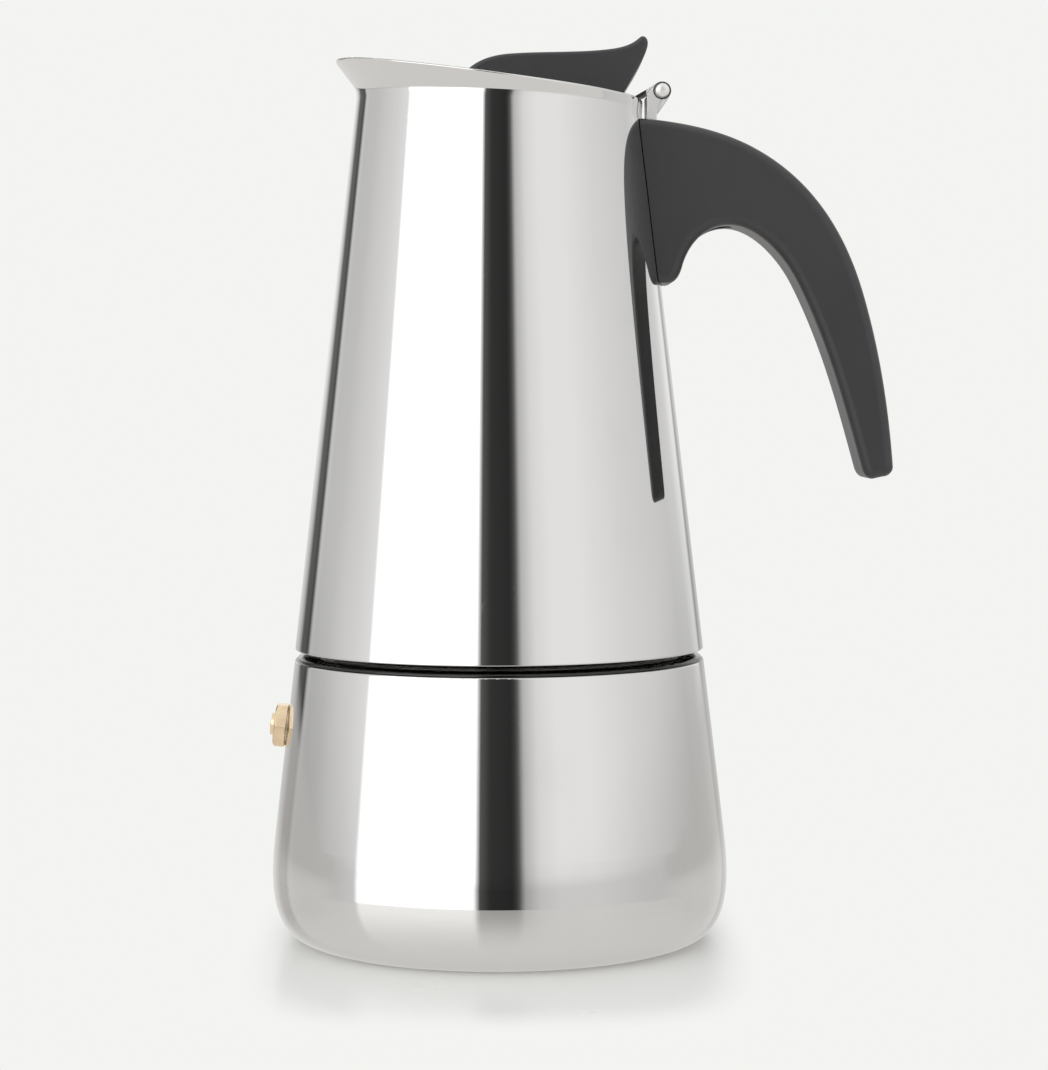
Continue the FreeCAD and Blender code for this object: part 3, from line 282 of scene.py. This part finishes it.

# Where finishes and painted shade change on the steel, in metres. The collar's box reaches 2.28 mm past the
# neck's thread, the chamber's shoulder, which gets painted shade, starts 2.5 mm under the jug, and the thread
# runs between two depths under the neck's top.
NECK_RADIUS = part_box("thread_collar")[1].x - 2.28 * MM
JUG_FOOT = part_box("jug_shell")[0].z
SHOULDER = JUG_FOOT - 2.5 * MM
THREAD_LOW, THREAD_HIGH = 9.5 * MM, 1.0 * MM
THREAD_DEPTH = 0.8 * MM
# The painted shade in the gap round the pin's head: how far out of the head it is full, starts to fade and
# ends. Then how far from the pin's middle the plate's painted shade by the jug's wall starts and is full.
RING_SHADE_FULL, RING_SHADE_FADE, RING_SHADE_END = 0.08 * MM, 0.25 * MM, 0.50 * MM
SHADE_START, SHADE_FULL = 3.35 * MM, 3.55 * MM


def polished_steel():
    """Mirror-polished stainless steel with handling marks: ringed and duller on the inside, duller and
    darkened with painted shade on the chamber's shoulder under the jug, and ridged by the thread on the neck."""
    made, tree, shader = fresh_material("polished_steel_finish")
    place = place_of(tree)
    marks = place_group(tree, MARKS, Place=place)
    ring = place_group(tree, RINGS, Place=place)["Ring"]
    inside = place_group(tree, INSIDE, Place=place)["Inside"]
    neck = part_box("boiler_shell")[1].z
    ridge = place_group(tree, THREAD, Place=place, Low=neck - THREAD_LOW, High=neck - THREAD_HIGH,
                        Reach=NECK_RADIUS)["Ridge"]
    level = tree.add("ShaderNodeSeparateXYZ", Vector=place).outputs["Z"]
    # Painted shade: the chamber's shoulder under the jug is darkened, near black low down and lighter higher
    # up, and made duller.
    shaded_ledge = tree.math("MULTIPLY", tree.step(level, SHOULDER, SHOULDER + 0.15 * MM),
                     tree.step(level, JUG_FOOT - 0.05 * MM, JUG_FOOT - 0.25 * MM))
    smeared = tree.mix(tree.math("MULTIPLY", marks["Smear"], 0.35), STEEL, STEEL_SMEARED)
    ledge_shade = tree.mix(tree.step(level, SHOULDER + 0.5 * MM, SHOULDER + 1.5 * MM), LEDGE_SHADE_DEEP, LEDGE_SHADE_OPEN)
    tree.fill(shader, "Base Color", tree.mix(shaded_ledge, smeared, ledge_shade))
    shader.inputs["Metallic"].default_value = 1.0
    haze = tree.math("MULTIPLY_ADD", marks["Smear"], 0.035, 0.028)
    haze = tree.math("MULTIPLY_ADD", shaded_ledge, 0.14, haze)
    haze = tree.math("MULTIPLY_ADD", marks["Scratch"], 0.03, haze)
    haze = tree.math("MULTIPLY_ADD", inside, tree.math("MULTIPLY_ADD", ring, 0.12, 0.14), haze)
    tree.fill(shader, "Roughness", haze)
    threads = relief(tree, ridge, THREAD_DEPTH, 0.8)
    rings = relief(tree, tree.math("MULTIPLY", ring, inside), 0.03 * MM, 0.25, threads)
    waved = relief(tree, marks["Wave"], 0.05 * MM, 0.1, rings)
    tree.fill(shader, "Normal", relief(tree, marks["Scratch"], -0.003 * MM, 0.2, waved))
    return made


def pressed_steel():
    """Plated pressed steel of the hinge: bright and satin, with painted shade in a ring round the pin's head
    and on the plate by the jug's wall."""
    made, tree, shader = fresh_material("pressed_steel_finish")
    place = place_of(tree)
    marks = place_group(tree, MARKS, Place=place)
    grain = tree.noise(place, 4200.0, 2.0, 0.5)
    low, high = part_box("hinge_pin")
    pin, head = (low + high) / 2, (high.z - low.z) / 2
    beside = tree.vector("MULTIPLY", tree.vector("SUBTRACT", place, tuple(pin)), (1.0, 0.0, 1.0))
    reach = tree.vector("LENGTH", beside)
    # Painted shade: a dark ring round the pin's head and a dark strip on the plate by the jug's wall.
    pin_and_wall_shade = tree.math("MULTIPLY", tree.step(reach, head, head + RING_SHADE_FULL),
                    tree.step(reach, head + RING_SHADE_END, head + RING_SHADE_FADE))
    wall = tree.add("ShaderNodeSeparateXYZ", Vector=place).outputs["X"]
    pin_and_wall_shade = tree.math("MAXIMUM", pin_and_wall_shade, tree.step(wall, pin.x - SHADE_START, pin.x - SHADE_FULL))
    plate = tree.mix(tree.math("MULTIPLY", marks["Smear"], 0.4), PLATE, PLATE_SMEARED)
    tree.fill(shader, "Base Color", tree.mix(pin_and_wall_shade, plate, PLATE_PAINTED_SHADE))
    shader.inputs["Metallic"].default_value = 1.0
    tree.fill(shader, "Roughness", tree.math("MULTIPLY_ADD", grain, 0.08, 0.38))
    grained = relief(tree, grain, 0.02 * MM, 0.25)
    tree.fill(shader, "Normal", relief(tree, marks["Scratch"], -0.01 * MM, 0.4, grained))
    return made


def satin_steel():
    """Stainless steel with a turned satin finish, for the pieces inside the pot and the screws."""
    made, tree, shader = fresh_material("satin_steel_finish")
    place = place_of(tree)
    marks = place_group(tree, MARKS, Place=place)
    ring = place_group(tree, RINGS, Place=place)["Ring"]
    tone = tree.mix(tree.math("MULTIPLY", marks["Smear"], 0.5), SATIN, SATIN_SMEARED)
    tree.fill(shader, "Base Color", tone)
    shader.inputs["Metallic"].default_value = 1.0
    haze = tree.math("MULTIPLY_ADD", ring, 0.16, 0.14)
    tree.fill(shader, "Roughness", tree.math("MULTIPLY_ADD", marks["Smear"], 0.08, haze))
    rings = relief(tree, ring, 0.03 * MM, 0.35)
    tree.fill(shader, "Normal", relief(tree, marks["Scratch"], -0.01 * MM, 0.4, rings))
    return made


def valve_brass():
    """Pale machined brass with a light tarnish."""
    made, tree, shader = fresh_material("valve_brass_finish")
    place = place_of(tree)
    marks = place_group(tree, MARKS, Place=place)
    tarnish = tree.step(tree.noise(place, 320.0, 2.0, 0.5), 0.3, 0.75)
    tree.fill(shader, "Base Color", tree.mix(tarnish, BRASS, BRASS_TARNISHED))
    shader.inputs["Metallic"].default_value = 1.0
    tree.fill(shader, "Roughness", tree.math("MULTIPLY_ADD", tarnish, 0.10, 0.20))
    lathe = tree.noise(place, 3200.0, 2.0, 0.6, (1.0, 0.08, 0.08))
    turned = relief(tree, lathe, 0.02 * MM, 0.12)
    tree.fill(shader, "Normal", relief(tree, marks["Scratch"], -0.01 * MM, 0.4, turned))
    return made


def black_nylon():
    """Satin black moulded nylon: fine grain, a faint parting line along its middle, small scuffs."""
    made, tree, shader = fresh_material("black_nylon_finish")
    place = place_of(tree)
    marks = place_group(tree, MARKS, Place=place)
    parts = tree.add("ShaderNodeSeparateXYZ", Vector=place).outputs
    seam = tree.step(tree.math("ABSOLUTE", parts["Y"]), 0.14 * MM, 0.05 * MM)
    grain = tree.noise(place, 5200.0, 2.0, 0.5)
    cloud = tree.noise(place, 60.0, 3.0, 0.5)
    tone = tree.mix(cloud, NYLON, NYLON_CLOUDED)
    tree.fill(shader, "Base Color", tree.mix(tree.math("MULTIPLY", marks["Smear"], 0.3), tone, NYLON_SCUFFED))
    gloss = tree.math("MULTIPLY_ADD", grain, 0.10, 0.33)
    tree.fill(shader, "Roughness", tree.math("MULTIPLY_ADD", marks["Smear"], -0.06, gloss))
    shader.inputs["Specular IOR Level"].default_value = 0.5
    grained = relief(tree, grain, 0.02 * MM, 0.35)
    parted = relief(tree, seam, 0.06 * MM, 0.6, grained)
    tree.fill(shader, "Normal", relief(tree, marks["Scratch"], -0.01 * MM, 0.35, parted))
    return made


def silicone():
    """Milky silicone rubber with a soft sheen and a trace of coffee."""
    made, tree, shader = fresh_material("silicone_finish")
    place = place_of(tree)
    stain = tree.step(tree.noise(place, 140.0, 4.0, 0.6), 0.5, 0.75)
    tree.fill(shader, "Base Color", tree.mix(tree.math("MULTIPLY", stain, 0.35), RUBBER, RUBBER_STAINED))
    tree.fill(shader, "Roughness", tree.math("MULTIPLY_ADD", stain, 0.1, 0.42))
    shader.inputs["Subsurface Weight"].default_value = 0.25
    shader.inputs["Subsurface Scale"].default_value = 2.0 * MM
    tree.fill(shader, "Normal", relief(tree, tree.noise(place, 2600.0, 2.0), 0.03 * MM, 0.3))
    return made


def washer_fibre():
    """Pressed pale tan fibre."""
    made, tree, shader = fresh_material("washer_fibre_finish")
    place = place_of(tree)
    fibre = tree.noise(place, 1500.0, 4.0, 0.7, (1.0, 0.3, 1.0))
    tree.fill(shader, "Base Color", tree.mix(fibre, FIBRE_DARK, FIBRE_LIGHT))
    tree.fill(shader, "Roughness", tree.math("MULTIPLY_ADD", fibre, 0.2, 0.55))
    tree.fill(shader, "Normal", relief(tree, fibre, 0.05 * MM, 0.5))
    return made


FINISHES = {
    "polished_steel": polished_steel(),
    "satin_steel": satin_steel(),
    "valve_brass": valve_brass(),
    "black_nylon": black_nylon(),
    "silicone": silicone(),
    "washer_fibre": washer_fibre(),
}


def finish_nodes():
    """Give every CAD node the finish that its material slot is named for, and the hinge its own."""
    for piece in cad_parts.values():
        for spot in piece.material_slots:
            spot.material = FINISHES[spot.material.name.split(".")[0]]
    pressed = pressed_steel()
    for name in ("handle_bracket", "hinge_pin", "lid_knuckle"):
        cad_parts[name].material_slots[0].material = pressed


EDGE_WIDTHS = {"handle_bracket": 0.22 * MM, "lid_knuckle": 0.22 * MM, "valve_body": 0.12 * MM}


def soften_edges():
    """Round the sharp edges of the hinge and of the valve's hexagon by a hair, so that they catch the
    light."""
    for name, width in EDGE_WIDTHS.items():
        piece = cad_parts[name]
        weld = piece.modifiers.new("weld", "WELD")
        weld.merge_threshold = 0.001 * MM
        bevel = piece.modifiers.new("edges", "BEVEL")
        bevel.width = width
        bevel.segments = 3
        bevel.limit_method = "ANGLE"
        bevel.angle_limit = math.radians(35.0)
        bevel.harden_normals = True


finish_nodes()
soften_edges()


# ---------------------------------------------------------------- jug
# Sizes in millimetres and radians, the same as the built piece's.

FOOT_LEVEL, FOOT_RADIUS, TAPER, WALL = 63.0, 44.95, 0.1125, 0.9
CREASE_LEVEL, CREASE_TILT = 183.0, math.radians(5.1)
LIP_LEVEL, LIP_TILT, LIP_CENTRE = 189.9, math.radians(7.35), -2.8
LIP_HALF_LENGTH, LIP_HALF_WIDTH = 35.2, 33.4
SPOUT, SPOUT_SLOPE = np.array([-36.3, 192.5]), math.radians(12.0)
RIM_REAR, REAR_SLOPE, RIM_CURVE = np.array([31.9, 183.4]), math.radians(3.0), 22.0
RUN_ON = 20.0            # how far the rim's curve runs on straight past both ends
PAST_LIP = 1.4           # the rim lies below this share of the way from the crease to the lip
HALVINGS = 40            # steps that find the rim
ROUND_THE_POT = 384      # points in each row
# The wall's corners from the foot outside, over crease and rim, down to the foot inside, by their radius.
CORNER_RADII = (0.2, 5.0, 0.42, 0.42, 4.1, 0.2)
TALL_SIDES = (0, 4)      # the corners that the two tall sides of the wall start from


def tilted_ellipse(turn, middle, level, tilt, half_length, half_width):
    """Points round an ellipse that leans down towards the hinge: its length by the cosine of the turn, its
    width by the sine."""
    along = half_length * np.cos(turn)
    return np.stack([middle + along * math.cos(tilt), half_width * np.sin(turn),
                     level - along * math.sin(tilt)], -1)


def rim_height(reach):
    """Height of the rim over its reach: a Bezier curve from spout to hinge, run on straight at both ends."""
    front, rear = SPOUT, RIM_REAR
    fall = np.array([math.cos(SPOUT_SLOPE), -math.sin(SPOUT_SLOPE)])
    rise = np.array([-math.cos(REAR_SLOPE), math.sin(REAR_SLOPE)])
    share = np.linspace(0.0, 1.0, 500)[:, None]
    rest = 1.0 - share
    curve = (rest ** 3 * front + 3 * rest ** 2 * share * (front + RIM_CURVE * fall)
             + 3 * rest * share ** 2 * (rear + RIM_CURVE * rise) + share ** 3 * rear)
    curve = np.vstack([front - RUN_ON * fall, curve, rear - RUN_ON * rise])
    return np.interp(reach, curve[:, 0], curve[:, 1])


def jug_rings(turn, inset):
    """Foot, crease and rim round the jug, drawn inside its outer wall by the inset.

    Each side runs straight from the foot's circle to the crease's ellipse and on towards the lip's ellipse,
    and the rim is where that line meets the rim's curve, found by halving.
    """
    radius = FOOT_RADIUS - TAPER * (CREASE_LEVEL - FOOT_LEVEL)
    lean = math.tan(CREASE_TILT)
    rear, front = radius / (1 - TAPER * lean), radius / (1 + TAPER * lean)
    middle = (rear - front) / 2
    half_width = math.sqrt((radius + TAPER * lean * middle) ** 2 - middle ** 2)
    flat = FOOT_RADIUS - inset
    foot = np.stack([flat * np.cos(turn), flat * np.sin(turn), np.full_like(turn, FOOT_LEVEL)], -1)
    crease = tilted_ellipse(turn, middle, CREASE_LEVEL - lean * middle, CREASE_TILT,
                            (rear + front) / 2 / math.cos(CREASE_TILT) - inset, half_width - inset)
    lip = tilted_ellipse(turn, LIP_CENTRE, LIP_LEVEL, LIP_TILT,
                         LIP_HALF_LENGTH - inset, LIP_HALF_WIDTH - inset)
    low, high = np.zeros((len(turn), 1)), np.full((len(turn), 1), PAST_LIP)
    for _ in range(HALVINGS):
        share = (low + high) / 2
        spot = crease + share * (lip - crease)
        over = spot[:, 2:] > rim_height(spot[:, :1])
        low, high = np.where(over, low, share), np.where(over, share, high)
    return foot, crease, crease + low * (lip - crease)


def unit(ways):
    """Directions of length one."""
    return ways / np.linalg.norm(ways, axis=-1, keepdims=True)


def rounded_corner(before, corner, after, radius, count=8, guard=0.25):
    """Rows round a corner of the profile: a parabola between the points where a circle of the radius
    touches the two sides, with one guard row on each side that keeps the sides' own shading straight."""
    back, on = unit(before - corner), unit(after - corner)
    half = np.arccos(np.clip((back * on).sum(-1, keepdims=True), -1.0, 1.0)) / 2
    reach = radius / np.tan(half)
    first, last = corner + reach * back, corner + reach * on
    share = np.linspace(0.0, 1.0, count)[:, None, None]
    curve = (1 - share) ** 2 * first + 2 * (1 - share) * share * corner + share ** 2 * last
    return [first + guard * back, *curve, last + guard * on]


def closed_surface(name, rows, finish, ring=True):
    """A smooth surface through rows of points, closed along each row. In a ring the last row meets the
    first, and otherwise each end row gets a flat cap."""
    grid = np.asarray(rows) * MM
    high, wide = grid.shape[:2]
    index = np.arange(high * wide).reshape(high, wide)
    over, on = np.roll(index, -1, 0), np.roll(index, -1, 1)
    faces = np.stack([index, on, np.roll(over, -1, 1), over], -1)
    caps = [] if ring else [index[0, ::-1].tolist(), index[-1].tolist()]
    faces = faces[:high if ring else high - 1].reshape(-1, 4).tolist() + caps
    mesh = bpy.data.meshes.new(name)
    mesh.from_pydata(grid.reshape(-1, 3), [], faces)
    mesh.polygons.foreach_set("use_smooth", np.ones(len(faces), bool))
    mesh.materials.append(finish)
    piece = bpy.data.objects.new(name, mesh)
    bpy.context.scene.collection.objects.link(piece)
    return piece


def jug_body():
    """Drawn steel jug: a six-cornered profile of its wall, with rounded crease, rim and foot, carried round
    the pot."""
    turn = np.linspace(0.0, math.tau, ROUND_THE_POT, endpoint=False)
    outside, inside = jug_rings(turn, 0.0), jug_rings(turn, WALL)
    corners = [*outside, *inside[::-1]]
    rows = []
    for index, (corner, radius) in enumerate(zip(corners, CORNER_RADII)):
        after = corners[(index + 1) % len(corners)]
        rows += rounded_corner(corners[index - 1], corner, after, radius)
        if index in TALL_SIDES:
            start, end = rows[-1], after
            rows += [start + share * (end - start) for share in np.linspace(0.04, 0.94, 16)]
    piece = closed_surface("jug_body", rows, FINISHES["polished_steel"])
    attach(piece, "jug")
    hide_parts("jug_shell")


jug_body()


# ---------------------------------------------------------------- valve's spring
# Sizes in millimetres. Levels lie along the valve's own axis, which points out of the wall, from the
# wall's outside.

WALL_POINT = np.array([-46.720, 0.0, 45.8])
OUTWARD, ACROSS, SIDEWAYS = np.array([[-0.993414, 0.0, 0.114584], [0.114584, 0.0, 0.993414], [0.0, 1.0, 0.0]])
COIL_LOW, COIL_HIGH, COIL_RADIUS, COIL_TURNS, WIRE_RADIUS = -5.69, 1.89, 1.85, 6, 0.25
COIL_STEPS, WIRE_SIDES = 40, 12      # rows in each turn, and points in each row


def valve_coil():
    """Round wire led along a helix, which climbs the valve's axis evenly as it turns round it."""
    turn = np.linspace(0.0, COIL_TURNS * math.tau, COIL_TURNS * COIL_STEPS + 1)[:, None]
    climb = (COIL_HIGH - COIL_LOW) / (COIL_TURNS * math.tau)
    radial = np.cos(turn) * ACROSS + np.sin(turn) * SIDEWAYS
    along = COIL_RADIUS * (np.cos(turn) * SIDEWAYS - np.sin(turn) * ACROSS) + climb * OUTWARD
    middle = WALL_POINT + COIL_RADIUS * radial + (COIL_LOW + climb * turn) * OUTWARD
    beside = np.cross(unit(along), radial)
    about = np.linspace(0.0, math.tau, WIRE_SIDES, endpoint=False)[None, :, None]
    wire = middle[:, None] + WIRE_RADIUS * (np.cos(about) * radial[:, None] + np.sin(about) * beside[:, None])
    piece = closed_surface("valve_coil", wire, FINISHES["satin_steel"], ring=False)
    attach(piece, "boiler")
    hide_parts("valve_spring")
    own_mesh(piece)


valve_coil()


# ---------------------------------------------------------------- studio

# The studio all round the pot, as brightness over compass angle: 0 is straight behind the camera,
# minus is to its left. A white softbox stands on the left, a dark gap behind the camera, a pale
# wall on the right and a narrow gap behind the pot on the left.
STUDIO = (
    (-180, 1.00), (-163, 0.90), (-157, 0.74), (-153.5, 0.60), (-150, 0.36), (-147.5, 0.15), (-141, 0.14),
    (-136.5, 0.085), (-132, 0.73), (-127, 0.66), (-112, 0.69), (-100, 0.78), (-88, 0.85), (-77, 0.96),
    (-74.5, 1.90), (-13.0, 1.90), (-10.2, 0.12), (-5, 0.042), (6.5, 0.031), (9.5, 0.10), (12.5, 0.60),
    (20, 0.90), (30, 1.01), (48, 1.01), (75, 0.88), (122, 0.74), (136, 0.80), (147, 1.01), (150, 0.96),
    (154, 0.42), (159, 0.66), (180, 1.00))
# The ceiling's tone and the dimming of the walls below the horizon, each with the heights between which it
# changes, where straight up is 1.
CEILING, CEILING_EDGE = (0.95, 0.95, 0.94, 1.0), (0.62, 0.80)
LOW_WALLS, LOW_WALLS_EDGE = 0.78, (-0.05, 0.07)


def studio_world():
    """Softboxes and gaps as brightness over compass angle, dimmer below the horizon and under an even
    ceiling. The camera sees a plain pale wall instead."""
    world = bpy.data.worlds.new("studio")
    bpy.context.scene.world = world
    world.use_nodes = True
    world.node_tree.nodes.clear()
    tree = Tree(world.node_tree)
    way = tree.add("ShaderNodeTexCoord").outputs["Generated"]
    parts = tree.add("ShaderNodeSeparateXYZ", Vector=way).outputs
    compass = tree.math("ARCTAN2", parts["X"], tree.math("MULTIPLY", parts["Y"], -1.0))
    share = tree.math("MULTIPLY_ADD", compass, 1 / math.tau, 0.5)
    walls = tree.ramp(share, [((angle + 180) / 360, level) for angle, level in STUDIO])
    ceiling = tree.step(parts["Z"], *CEILING_EDGE)
    lowered = tree.add("ShaderNodeVectorMath", {"operation": "SCALE"}, Vector=walls,
                       Scale=tree.step(parts["Z"], *LOW_WALLS_EDGE, LOW_WALLS, 1.0)).outputs[0]
    light = tree.mix(ceiling, lowered, CEILING)
    seen = tree.add("ShaderNodeLightPath").outputs["Is Camera Ray"]
    glow = tree.add("ShaderNodeBackground", Color=tree.mix(seen, light, PALE))
    out = tree.add("ShaderNodeOutputWorld")
    world.node_tree.links.new(glow.outputs[0], out.inputs["Surface"])


def mixed_shader(tree, share, first, second):
    """A Mix Shader node's result."""
    node = tree.add("ShaderNodeMixShader")
    for index, value in enumerate((share, first, second)):
        tree.fill(node, str(index), value)
    return node.outputs[0]


# The table. Each pair is where a smooth change starts and ends, in metres unless said otherwise.
TABLE, TABLE_GLOSS = (0.90, 0.905, 0.89, 1.0), 0.22
# A painted glow that glossy rays see on the table in place of its lit surface: brighter near the pot, darker
# further out.
MIRRORED_GLOW_NEAR, MIRRORED_GLOW_FAR = (0.80, 0.785, 0.765, 1.0), (0.60, 0.59, 0.575, 1.0)
DULLING = 0.10, 0.30            # out from the pot's axis, where its painted glow goes from near to far
EVENED = 0.07, 0.15             # out from the axis, where its painted glow takes over from the shaded one
EVEN_SHARE = 0.75               # the painted glow's share at the pot, which grows to 1
LOW_SPOTS = 0.16, 0.13          # height of the reflecting spot, under which the studio shows in the table
BELLY_SPOTS = 0.032, 0.018      # height of the reflecting spot, under which the spot is on the belly
BELLY_FRONT = 0.02, -0.06       # along Y, where the table starts to count as what the belly faces
SHEEN_POWER, SHEEN_GAIN = 3.1, 1.05     # how the studio's share in the table grows as rays get level
SHEEN_MOST, BELLY_MORE = 0.30, 0.20     # the most that it shows, and how much more the belly shows
LEVEL_RAYS = 0.765, 0.79        # how level a ray is, 1 being level, where the belly looks past the table
FAR_END = 0.45, 1.6             # out from the axis, where the table ends in a reflection
SHADOW_EDGE = 0.074, 0.096      # size of the patch that keeps the shadow
PATCH_STRETCH = 1.75            # how much longer the patch is from front to back


def floor_finish():
    """Pale table that keeps the pot's shadow and fades into the background further out.

    Reflections low on the pot show the table near it, with a painted glow in place of most of its lit surface
    that is darker further out, with the studio reflected in it at a shallow angle, and look past its far end.
    Reflections high on the pot show only the table, in its painted glow. The height of the reflecting spot is
    the ray's length times the sine of its slope. The patch that keeps the shadow is a rounded oblong: the
    fourth root of its sides' fourth powers added.
    """
    made, tree, shader = fresh_material("table_finish")
    place = place_of(tree)
    parts = tree.add("ShaderNodeSeparateXYZ", Vector=place).outputs
    rays = tree.add("ShaderNodeLightPath").outputs
    flat = tree.add("ShaderNodeLayerWeight", Blend=0.5).outputs["Facing"]
    rise = tree.math("MULTIPLY", rays["Ray Length"], tree.math("SUBTRACT", 1.0, flat))
    low = tree.math("MULTIPLY", tree.step(rise, *LOW_SPOTS), rays["Is Glossy Ray"])
    away = tree.vector("LENGTH", place)

    shader.inputs["Base Color"].default_value = TABLE
    tree.fill(shader, "Roughness", tree.math("MULTIPLY_ADD", tree.noise(place, 40.0, 3.0), 0.04, 0.26))
    shader.inputs["Specular IOR Level"].default_value = TABLE_GLOSS

    # Painted glow: glossy rays see the table as an emission, brighter near the pot and darker further out, in
    # place of most of its lit surface.
    soft = tree.mix(tree.math("MULTIPLY", tree.step(away, *DULLING), low), MIRRORED_GLOW_NEAR, MIRRORED_GLOW_FAR)
    mirrored_glow = tree.add("ShaderNodeEmission", Color=soft)
    even = tree.math("MULTIPLY_ADD", tree.step(away, *EVENED), 1.0 - EVEN_SHARE, EVEN_SHARE)
    faced = mixed_shader(tree, tree.math("MULTIPLY", rays["Is Glossy Ray"], even),
                         shader.outputs[0], mirrored_glow.outputs[0])

    side = tree.math("POWER", tree.math("ABSOLUTE", tree.math("MULTIPLY", parts["X"], PATCH_STRETCH)), 4.0)
    front = tree.math("POWER", tree.math("ABSOLUTE", parts["Y"]), 4.0)
    patch = tree.math("POWER", tree.math("ADD", side, front), 0.25)
    glow = tree.add("ShaderNodeEmission", Color=PALE)
    fade = tree.math("MULTIPLY", tree.step(patch, *SHADOW_EDGE), rays["Is Camera Ray"])
    faded = mixed_shader(tree, fade, faced, glow.outputs[0])

    clear = tree.add("ShaderNodeBsdfTransparent")
    belly = tree.math("MULTIPLY", tree.step(rise, *BELLY_SPOTS), tree.step(parts["Y"], *BELLY_FRONT))
    sheen = tree.math("MULTIPLY", tree.math("POWER", flat, SHEEN_POWER), SHEEN_GAIN)
    shallow = tree.math("MINIMUM", sheen, tree.math("MULTIPLY_ADD", belly, BELLY_MORE, SHEEN_MOST))
    level = tree.math("MULTIPLY", tree.step(flat, *LEVEL_RAYS), belly)
    far = tree.math("MAXIMUM", level, tree.step(away, *FAR_END))
    past = tree.math("MULTIPLY", tree.math("MAXIMUM", shallow, far), low)
    opened = mixed_shader(tree, past, faded, clear.outputs[0])
    out = [node for node in made.node_tree.nodes if node.type == "OUTPUT_MATERIAL"][0]
    made.node_tree.links.new(opened, out.inputs["Surface"])
    return made


def table_top():
    """A flat square floor just under the pot."""
    half, level = 12.0, cad_low.z - 0.02 * MM
    corners = [(-half, -half, level), (half, -half, level), (half, half, level), (-half, half, level)]
    mesh = bpy.data.meshes.new("table_top")
    mesh.from_pydata(corners, [], [(0, 1, 2, 3)])
    mesh.materials.append(floor_finish())
    top = bpy.data.objects.new("table_top", mesh)
    bpy.context.scene.collection.objects.link(top)


# The camera: where it stands and what it aims at in metres, its lens in millimetres, the share of the
# picture's height that its frame is shifted by, and its roll.
STAND, AIM = Vector((0.0, -0.608, 0.118)), Vector((0.0056, 0.0, 0.118))
LENS, SHIFT, ROLL = 92.5, -137.0 / 1070.0, math.radians(-0.15)


def camera():
    """A long lens at the pot's side, held level a little above its middle, with its frame shifted down."""
    data = bpy.data.cameras.new("camera")
    data.sensor_width = 36.0
    data.lens = LENS
    data.shift_y = SHIFT
    data.clip_start, data.clip_end = 0.01, 100.0
    made = bpy.data.objects.new("camera", data)
    bpy.context.scene.collection.objects.link(made)
    look = (AIM - STAND).to_track_quat("-Z", "Y").to_matrix().to_4x4()
    made.matrix_world = Matrix.Translation(STAND) @ look @ Matrix.Rotation(ROLL, 4, "Z")
    bpy.context.scene.camera = made


studio_world()
table_top()
camera()
bpy.context.scene.view_settings.view_transform = "Standard"

bpy.context.view_layer.update()
